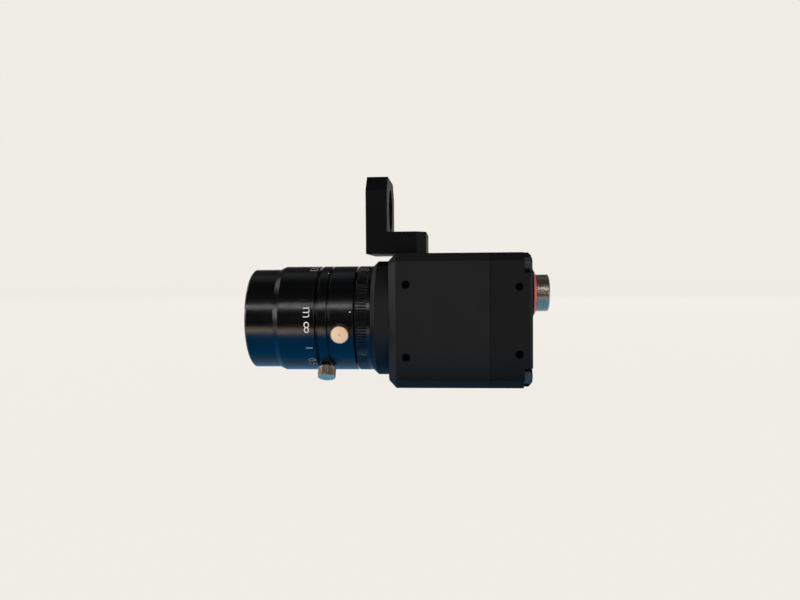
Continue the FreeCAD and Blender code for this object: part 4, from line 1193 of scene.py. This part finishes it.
@dataclass
class ThumbScrews(Assembly):
    """The two knurled thumb screws that lock the focus and the iris."""

    base: float = 17.0 * MM
    top: float = 20.4 * MM
    head_radius: float = 2.75 * MM
    stud_radius: float = 0.95 * MM
    tip_chamfer: float = 0.2 * MM
    foot_edge: float = 0.4 * MM
    skirt_edge: float = 0.3 * MM
    skirt_height: float = 0.3 * MM
    skirt_step: float = 0.05 * MM
    face_edge: float = 0.12 * MM
    dimple_radius: float = 0.27 * MM
    dimple_throat: float = 0.22 * MM
    dimple_chamfer: float = 0.03 * MM
    dimple_depth: float = 0.3 * MM
    ring_spacing: float = 0.2 * MM
    knurls: int = 24
    points_a_knurl: int = 8
    tooth_depth: float = 0.36 * MM
    face_tooth_depth: float = 0.26 * MM
    tooth_land: float = 0.35
    beyond_top: float = 0.4 * MM
    screws: tuple[ThumbScrew, ...] = (
        ThumbScrew("focus_thumb_screw", "focus_lock_screw", -20.1 * MM, -61.8, 13.3 * MM),
        ThumbScrew("iris_thumb_screw", "iris_lock_screw", -14.4 * MM, -11.3, 14.62 * MM))

    def build(self) -> None:
        """Make both screws."""
        metal = self.shop.materials["thumb_screw_steel"]
        knurl_start = self.base + self.skirt_height
        knurl_end = self.top - self.face_edge
        for screw in self.screws:
            rings = [Ring(screw.tip, 0.0), Ring(screw.tip, self.stud_radius - self.tip_chamfer),
                     Ring(screw.tip + self.tip_chamfer, self.stud_radius),
                     Ring(self.base, self.stud_radius),
                     Ring(self.base, self.head_radius - self.foot_edge),
                     Ring(knurl_start, self.head_radius - self.skirt_edge)]
            rings += fine_rings(knurl_start + self.skirt_step, knurl_end, self.head_radius,
                                self.ring_spacing)
            rings += [Ring(self.top, self.head_radius - self.face_edge),
                      Ring(self.top, self.dimple_radius),
                      Ring(self.top - self.dimple_chamfer, self.dimple_throat),
                      Ring(self.top - self.dimple_depth, 0.0)]
            mesh = turned_mesh(screw.name, rings, self.knurls * self.points_a_knurl)
            mesh = self._toothed(mesh, metal, knurl_start)
            shade_by_angle(mesh, KNURL_ANGLE)
            self.lens.seat(mesh, outward_matrix(screw.x, screw.degrees))
            self.shop.settle(new_piece(screw.name, mesh), screw.node, "thumb_screw_steel",
                             (screw.node,))

    def _toothed(self, mesh: bpy.types.Mesh, metal: bpy.types.Material,
                 start: float) -> bpy.types.Mesh:
        """Cut the teeth along the head's side and through the edge of its face.

        Args:
            mesh: The screw's mesh.
            metal: Its material.
            start: Where the teeth start.

        Returns:
            The mesh with its teeth.
        """
        beyond = self.top + self.beyond_top
        for radius, depth in ((self.head_radius, self.tooth_depth),
                              (self.head_radius - self.face_edge, self.face_tooth_depth)):
            mesh = self.trees.grooved(mesh, metal, start, beyond, radius, depth,
                                      flutes=self.knurls, land=self.tooth_land)
        return mesh


@dataclass(frozen=True)
class Mark:
    """One white mark on a ring of the lens."""

    text: str
    x: float
    degrees: float
    height: float
    body: str = "focus_ring"
    upright: bool = False


@dataclass
class LensMarks(Assembly):
    """The distance scale on the focus ring, and the index dots beside it and on the iris ring."""

    radius: float = 16.53 * MM
    paint_height: float = 0.012 * MM
    text_size: float = 10.0 * MM
    text_thinning: float = 0.18 * MM
    curve_steps: int = 4
    upright_squeeze: float = 0.8
    dot_radius: float = 0.2 * MM
    dot_taper: float = 0.96
    dot_segments: int = 32
    longest_edge: float = 0.45 * MM
    most_splits: int = 4
    scale: tuple[Mark, ...] = (
        Mark("m", -25.0 * MM, 8.8, 2.0 * MM), Mark("8", -24.95 * MM, -6.9, 3.4 * MM, upright=True),
        Mark("1", -24.55 * MM, -30.4, 2.1 * MM), Mark("0.5", -24.3 * MM, -52.5, 2.3 * MM),
        Mark("0.3", -24.3 * MM, -95.0, 2.3 * MM), Mark("0.2", -24.3 * MM, -150.0, 2.3 * MM),
        Mark("0.15", -24.3 * MM, -215.0, 2.3 * MM), Mark("0.13", -24.3 * MM, 75.0, 2.3 * MM))
    dots: tuple[Mark, ...] = (
        Mark("", -19.35 * MM, 59.4, 0.0, "camera"), Mark("", -11.75 * MM, 9.1, 0.0, "iris_ring"))

    def build(self) -> None:
        """Make every mark as a thin layer of paint wrapped on its ring."""
        for number, mark in enumerate(self.scale + self.dots, start=1):
            flat = self._glyphs(mark) if mark.text else self._dot()
            mesh = self._wrapped(flat, mark, f"lens_mark_{number}")
            mesh.materials.clear()
            mesh.materials.append(self.shop.paint)
            self.shop.settle(new_piece(f"lens_mark_{number}", self.lens.seat(mesh)), mark.body,
                             "lens_finish")

    def _glyphs(self, mark: Mark) -> bpy.types.Mesh:
        """Set a mark's text as a flat mesh centred on its origin.

        Args:
            mark: The mark.

        Returns:
            The mesh, with X along the reading direction and Y up.
        """
        curve = bpy.data.curves.new("mark_text", "FONT")
        curve.body = mark.text
        curve.size = self.text_size
        curve.resolution_u = self.curve_steps
        curve.extrude = self.paint_height / 2.0
        curve.offset = -self.text_thinning
        writer = bpy.data.objects.new("mark_text", curve)
        bpy.context.scene.collection.objects.link(writer)
        graph = bpy.context.evaluated_depsgraph_get()
        mesh = bpy.data.meshes.new_from_object(writer.evaluated_get(graph))
        bpy.data.objects.remove(writer)
        xs = [vertex.co.x for vertex in mesh.vertices]
        ys = [vertex.co.y for vertex in mesh.vertices]
        middle = Vector(((min(xs) + max(xs)) / 2.0, (min(ys) + max(ys)) / 2.0, 0.0))
        factor = mark.height / (max(ys) - min(ys))
        mesh.transform(Matrix.Diagonal((factor, factor, 1.0, 1.0)) @ Matrix.Translation(-middle))
        if mark.upright:
            squeeze = Matrix.Diagonal((self.upright_squeeze, 1.0, 1.0, 1.0))
            mesh.transform(Matrix.Rotation(-QUARTER_TURN, 4, "Z") @ squeeze)
        return mesh

    def _dot(self) -> bpy.types.Mesh:
        """Make a round dot as a flat disc of paint.

        Returns:
            The mesh.
        """
        disc = bmesh.new()
        bmesh.ops.create_cone(disc, cap_ends=True, segments=self.dot_segments,
                              radius1=self.dot_radius, radius2=self.dot_radius * self.dot_taper,
                              depth=self.paint_height)
        return finished_mesh("index_dot", disc)

    def _wrapped(self, flat: bpy.types.Mesh, mark: Mark, name: str) -> bpy.types.Mesh:
        """Wrap a flat mark on its ring, with its top towards the body.

        Args:
            flat: The flat mesh.
            mark: Where it goes.
            name: The wrapped mesh's name.

        Returns:
            The wrapped mesh.
        """
        shape = bmesh.new()
        shape.from_mesh(flat)
        bmesh.ops.remove_doubles(shape, verts=shape.verts, dist=MERGE_DISTANCE)
        for _ in range(self.most_splits):
            long_edges = [edge for edge in shape.edges
                          if edge.calc_length() > self.longest_edge]
            if not long_edges:
                break
            bmesh.ops.subdivide_edges(shape, edges=long_edges, cuts=1)
            bmesh.ops.triangulate(shape, faces=shape.faces)
        for vertex in shape.verts:
            reach = self.radius + self.paint_height + vertex.co.z
            angle = math.radians(mark.degrees) - vertex.co.x / self.radius
            vertex.co = (mark.x + vertex.co.y, -reach * math.cos(angle), reach * math.sin(angle))
        bmesh.ops.recalc_face_normals(shape, faces=shape.faces)
        return finished_mesh(name, shape)


@dataclass
class SeamLipAndShade(Assembly):
    """The seal's black edge round the body, which also paints the shade of the seam's gap."""

    seam: float = 29.8 * MM
    # Its width gives the black line that paints the shade in the seam.
    half_width: float = 0.12 * MM
    proud: float = 0.004 * MM
    root_depth: float = 0.05 * MM
    half_side: float = 20.0 * MM
    chamfer: float = 2.5 * MM

    def build(self) -> None:
        """Make the lip as a thin eight-sided band, black as painted shade in the seam."""
        corner = self.half_side - self.chamfer
        corner_share = math.tan(math.radians(22.5))
        shape = bmesh.new()
        loops = []
        for x, grow in ((-self.half_width, self.proud), (self.half_width, self.proud),
                        (self.half_width, -self.root_depth),
                        (-self.half_width, -self.root_depth)):
            reach = self.half_side + grow
            short = corner + grow * corner_share
            sides = ((reach, short), (short, reach), (-short, reach), (-reach, short),
                     (-reach, -short), (-short, -reach), (short, -reach), (reach, -short))
            loops.append([shape.verts.new((self.seam + x, y, z)) for y, z in sides])
        for first, second in zip(loops, loops[1:] + loops[:1]):
            for step in range(len(first)):
                following = (step + 1) % len(first)
                shape.faces.new((first[step], first[following], second[following], second[step]))
        bmesh.ops.recalc_face_normals(shape, faces=shape.faces)
        mesh = finished_mesh("seam_lip_and_shade", shape)
        mesh.materials.append(self.shop.materials["gasket_rubber"])
        self.shop.settle(new_piece("seam_lip_and_shade", self.lens.seat(mesh)), "camera", "gasket_rubber")


@dataclass(frozen=True)
class Softbox:
    """A rectangular lamp aimed at a point."""

    name: str
    place: tuple[float, float, float]
    aim: tuple[float, float, float]
    width: float
    height: float
    radiance: float
    colour: Colour = (1.0, 1.0, 1.0)
    mirrored: bool = True

    def build(self) -> None:
        """Make the lamp, which the camera doesn't see."""
        lamp = bpy.data.lights.new(self.name, "AREA")
        lamp.shape = "RECTANGLE"
        lamp.size = self.width
        lamp.size_y = self.height
        lamp.energy = self.radiance * LAMP_POWER * self.width * self.height
        lamp.color = self.colour
        holder = bpy.data.objects.new(self.name, lamp)
        holder.location = self.place
        away = Vector(self.aim) - Vector(self.place)
        holder.rotation_euler = away.to_track_quat("-Z", "Y").to_euler()
        holder.visible_camera = False
        holder.visible_glossy = self.mirrored
        bpy.context.scene.collection.objects.link(holder)


@dataclass(frozen=True)
class Card:
    """A flat card near the floor that only reflections see."""

    name: str
    low: tuple[float, float]
    high: tuple[float, float]
    colour: Colour
    strength: float
    height: float = 0.0006

    def build(self) -> None:
        """Make the card and keep it out of the camera's view and the shadows."""
        corners = ((self.low[0], self.low[1]), (self.high[0], self.low[1]),
                   (self.high[0], self.high[1]), (self.low[0], self.high[1]))
        mesh = bpy.data.meshes.new(self.name)
        mesh.from_pydata([(x, y, self.height) for x, y in corners], [], [(0, 1, 2, 3)])
        material, graph, shader = new_material(self.name)
        shader.inputs["Base Color"].default_value = (0.0, 0.0, 0.0, 1.0)
        shader.inputs["Specular IOR Level"].default_value = 0.0
        shader.inputs["Emission Color"].default_value = rgba(self.colour)
        under = graph.add("ShaderNodeNewGeometry").outputs["Backfacing"]
        graph.feed(shader.inputs["Emission Strength"],
                   graph.math("MULTIPLY", graph.math("SUBTRACT", 1.0, under), self.strength))
        mesh.materials.append(material)
        card = new_piece(self.name, mesh)
        card.visible_camera = False
        card.visible_shadow = False
        card.visible_transmission = False
        card.visible_diffuse = False
        card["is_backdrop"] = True


@dataclass
class Studio:
    """The pale floor, the pale surroundings, the lamps and the reflecting cards."""

    pale: Colour = (0.871, 0.838, 0.791)
    glow_share: float = 0.992
    floor_colour: Colour = (0.02, 0.0193, 0.0182)
    floor_radius: float = 4.0
    floor_height: float = -0.0001
    floor_segments: int = 96
    surround: float = 0.06
    behind_range: tuple[float, float] = (0.7, 0.93)
    skyline_range: tuple[float, float] = (0.08, 0.35)
    softboxes: tuple[Softbox, ...] = (
        Softbox("left_softbox", (-1.0, -0.10, 0.14), (-0.01, 0.0, 0.02), 0.6, 0.16, 14.0),
        Softbox("right_softbox", (1.0, -0.10, 0.14), (0.01, 0.0, 0.02), 0.6, 0.16, 7.0),
        Softbox("rim_softbox", (-0.9, 0.42, 0.52), (-0.05, 0.0, 0.02), 0.3, 0.3, 5.0),
        Softbox("rear_softbox", (0.1, 0.9, 0.40), (0.0, 0.0, 0.02), 0.9, 0.25, 7.0,
                mirrored=False),
        Softbox("front_strip", (-0.03, -0.80, 0.46), (-0.03, 0.0, 0.02), 0.9, 0.035, 24.0),
        Softbox("top_softbox", (-0.02, 0.30, 0.75), (0.0, 0.0, 0.03), 0.9, 0.3, 0.2,
                (0.85, 0.93, 1.0)),
        Softbox("table_glow", (0.0, -0.34, 0.003), (0.0, -0.34, 1.0), 0.8, 0.62, 1.2,
                mirrored=False))
    cards: tuple[Card, ...] = (
        Card("blue_card", (-0.11, -0.040), (-0.0215, -0.010), (0.0, 0.38, 1.0), 1.5),
        Card("under_card", (-0.11, -0.010), (-0.0215, 0.018), (0.25, 0.57, 1.0), 0.85),
        Card("body_card", (-0.0215, -0.040), (0.0212, 0.018), (0.22, 0.6, 1.0), 1.35),
        Card("rear_card", (0.0212, -0.050), (0.065, 0.018), (0.25, 0.66, 1.0), 1.4),
        Card("warm_card", (-0.12, -0.060), (-0.046, -0.041), (1.0, 0.82, 0.66), 5.0),
        Card("warm_body_card", (-0.046, -0.060), (0.06, -0.041), (1.0, 0.82, 0.66), 2.0),
        Card("black_card", (-0.4, -0.9), (0.4, -0.062), (0.0, 0.0, 0.0), 0.0))

    def build(self) -> None:
        """Make the whole studio."""
        self._floor()
        self._world()
        for item in self.softboxes + self.cards:
            item.build()
        LOG.info("made the studio with %d lamps and %d cards", len(self.softboxes),
                 len(self.cards))

    @staticmethod
    def _ray_kinds(graph: NodeGraph) -> tuple[bpy.types.NodeSocket, bpy.types.NodeSocket]:
        """Tell the camera's own rays from those of reflections and glass.

        Args:
            graph: The graph to add to.

        Returns:
            A socket that is 1 for a ray from the camera, and one that is 1 for a ray from
            a reflection or through glass.
        """
        path = graph.add("ShaderNodeLightPath")
        mirrored = graph.math("ADD", path.outputs["Is Glossy Ray"],
                              path.outputs["Is Transmission Ray"])
        return path.outputs["Is Camera Ray"], mirrored

    def _floor(self) -> None:
        """Make the wide floor, which glows pale and keeps a soft shadow."""
        shape = bmesh.new()
        bmesh.ops.create_circle(shape, cap_ends=True, segments=self.floor_segments,
                                radius=self.floor_radius)
        mesh = finished_mesh("studio_floor", shape)
        mesh.transform(Matrix.Translation((0.0, 0.0, self.floor_height)))
        material, graph, shader = new_material("studio_floor")
        shader.inputs["Base Color"].default_value = rgba(self.floor_colour)
        shader.inputs["Roughness"].default_value = 1.0
        shader.inputs["Specular IOR Level"].default_value = 0.0
        shader.inputs["Emission Color"].default_value = rgba(self.pale)
        seen = graph.math("ADD", *self._ray_kinds(graph), clamp=True)
        graph.feed(shader.inputs["Emission Strength"],
                   graph.math("MULTIPLY", seen, self.glow_share))
        mesh.materials.append(material)
        new_piece("studio_floor", mesh)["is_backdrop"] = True

    def _world(self) -> None:
        """Make the surroundings pale behind the object and dim in front of it."""
        world = bpy.data.worlds.new("studio_world")
        world.use_nodes = True
        graph = NodeGraph(world.node_tree)
        background = world.node_tree.nodes["Background"]
        direction = graph.add("ShaderNodeSeparateXYZ")
        graph.feed(direction.inputs[0], graph.add("ShaderNodeTexCoord").outputs["Generated"])
        behind = graph.range(direction.outputs["Y"], *self.behind_range)
        low = graph.range(direction.outputs["Z"], *self.skyline_range, 1.0, 0.0)
        from_camera, mirrored = self._ray_kinds(graph)
        mirrored = graph.math("MULTIPLY", mirrored, graph.math("MULTIPLY", behind, low))
        share = graph.math("ADD", from_camera, mirrored, clamp=True)
        graph.feed(background.inputs["Color"],
                   graph.blend(share, rgba((self.surround,) * 3), rgba(self.pale)))
        bpy.context.scene.world = world


@dataclass(frozen=True)
class Viewpoint:
    """The camera's place, aim and lens."""

    # Fix a finished piece to its body and hide the nodes that it stands for.
    place: tuple[float, float, float] = (-0.00359, -0.23464, 0.03283)
    yaw: float = -3.886
    pitch: float = -1.753
    roll: float = -0.4155
    focal: float = 33.087
    # slot: The record's material slot that it takes its finish from; not used.
    sensor_width: float = 36.0
    clip_start: float = 0.01

    def build(self) -> None:
        """Make the camera and give the scene its plain view transform."""
        yaw, pitch, roll = (math.radians(value) for value in (self.yaw, self.pitch, self.roll))
        ahead = Vector((math.sin(yaw) * math.cos(pitch), math.cos(yaw) * math.cos(pitch),
                        math.sin(pitch)))
        right = Vector((math.cos(yaw), -math.sin(yaw), 0.0))
        up = right.cross(ahead)
        tilted_right = right * math.cos(roll) + up * math.sin(roll)
        tilted_up = up * math.cos(roll) - right * math.sin(roll)
        camera = bpy.data.cameras.new("studio_camera")
        camera.lens = self.focal
        camera.sensor_width = self.sensor_width
        camera.clip_start = self.clip_start
        holder = bpy.data.objects.new("studio_camera", camera)
        turn = Matrix((tilted_right, tilted_up, -ahead)).transposed().to_4x4()
        holder.matrix_world = Matrix.Translation(self.place) @ turn
        bpy.context.scene.collection.objects.link(holder)
        bpy.context.scene.camera = holder
        bpy.context.scene.view_settings.view_transform = "Standard"


def as_lists(box: tuple[Vector, Vector]) -> list[list[float]]:
    """Give a box's two corners as plain lists."""
    return [list(corner) for corner in box]


def main(frame: dict, cad_box: list[list[float]]) -> None:
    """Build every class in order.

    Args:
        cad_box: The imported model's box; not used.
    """
    logging.basicConfig(level=logging.INFO, format="%(name)s: %(message)s")
    shop = Workshop(frame)
    trees = GeometryTrees()
    lens = LensFrame.measured(BOSS_LENGTH)
    shop.dress_nodes()
    for assembly in (CableSocket, FilterMouth, TappedHoles, CoverScrews, GripRing,
                     ThumbScrews, LensMarks, SeamLipAndShade):
        assembly(shop, trees, lens).build()
    Studio().build()
    Viewpoint().build()
    LOG.info("wrote the sizes")


if __name__ == "__main__":
    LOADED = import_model()
    main(LOADED, as_lists(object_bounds()))
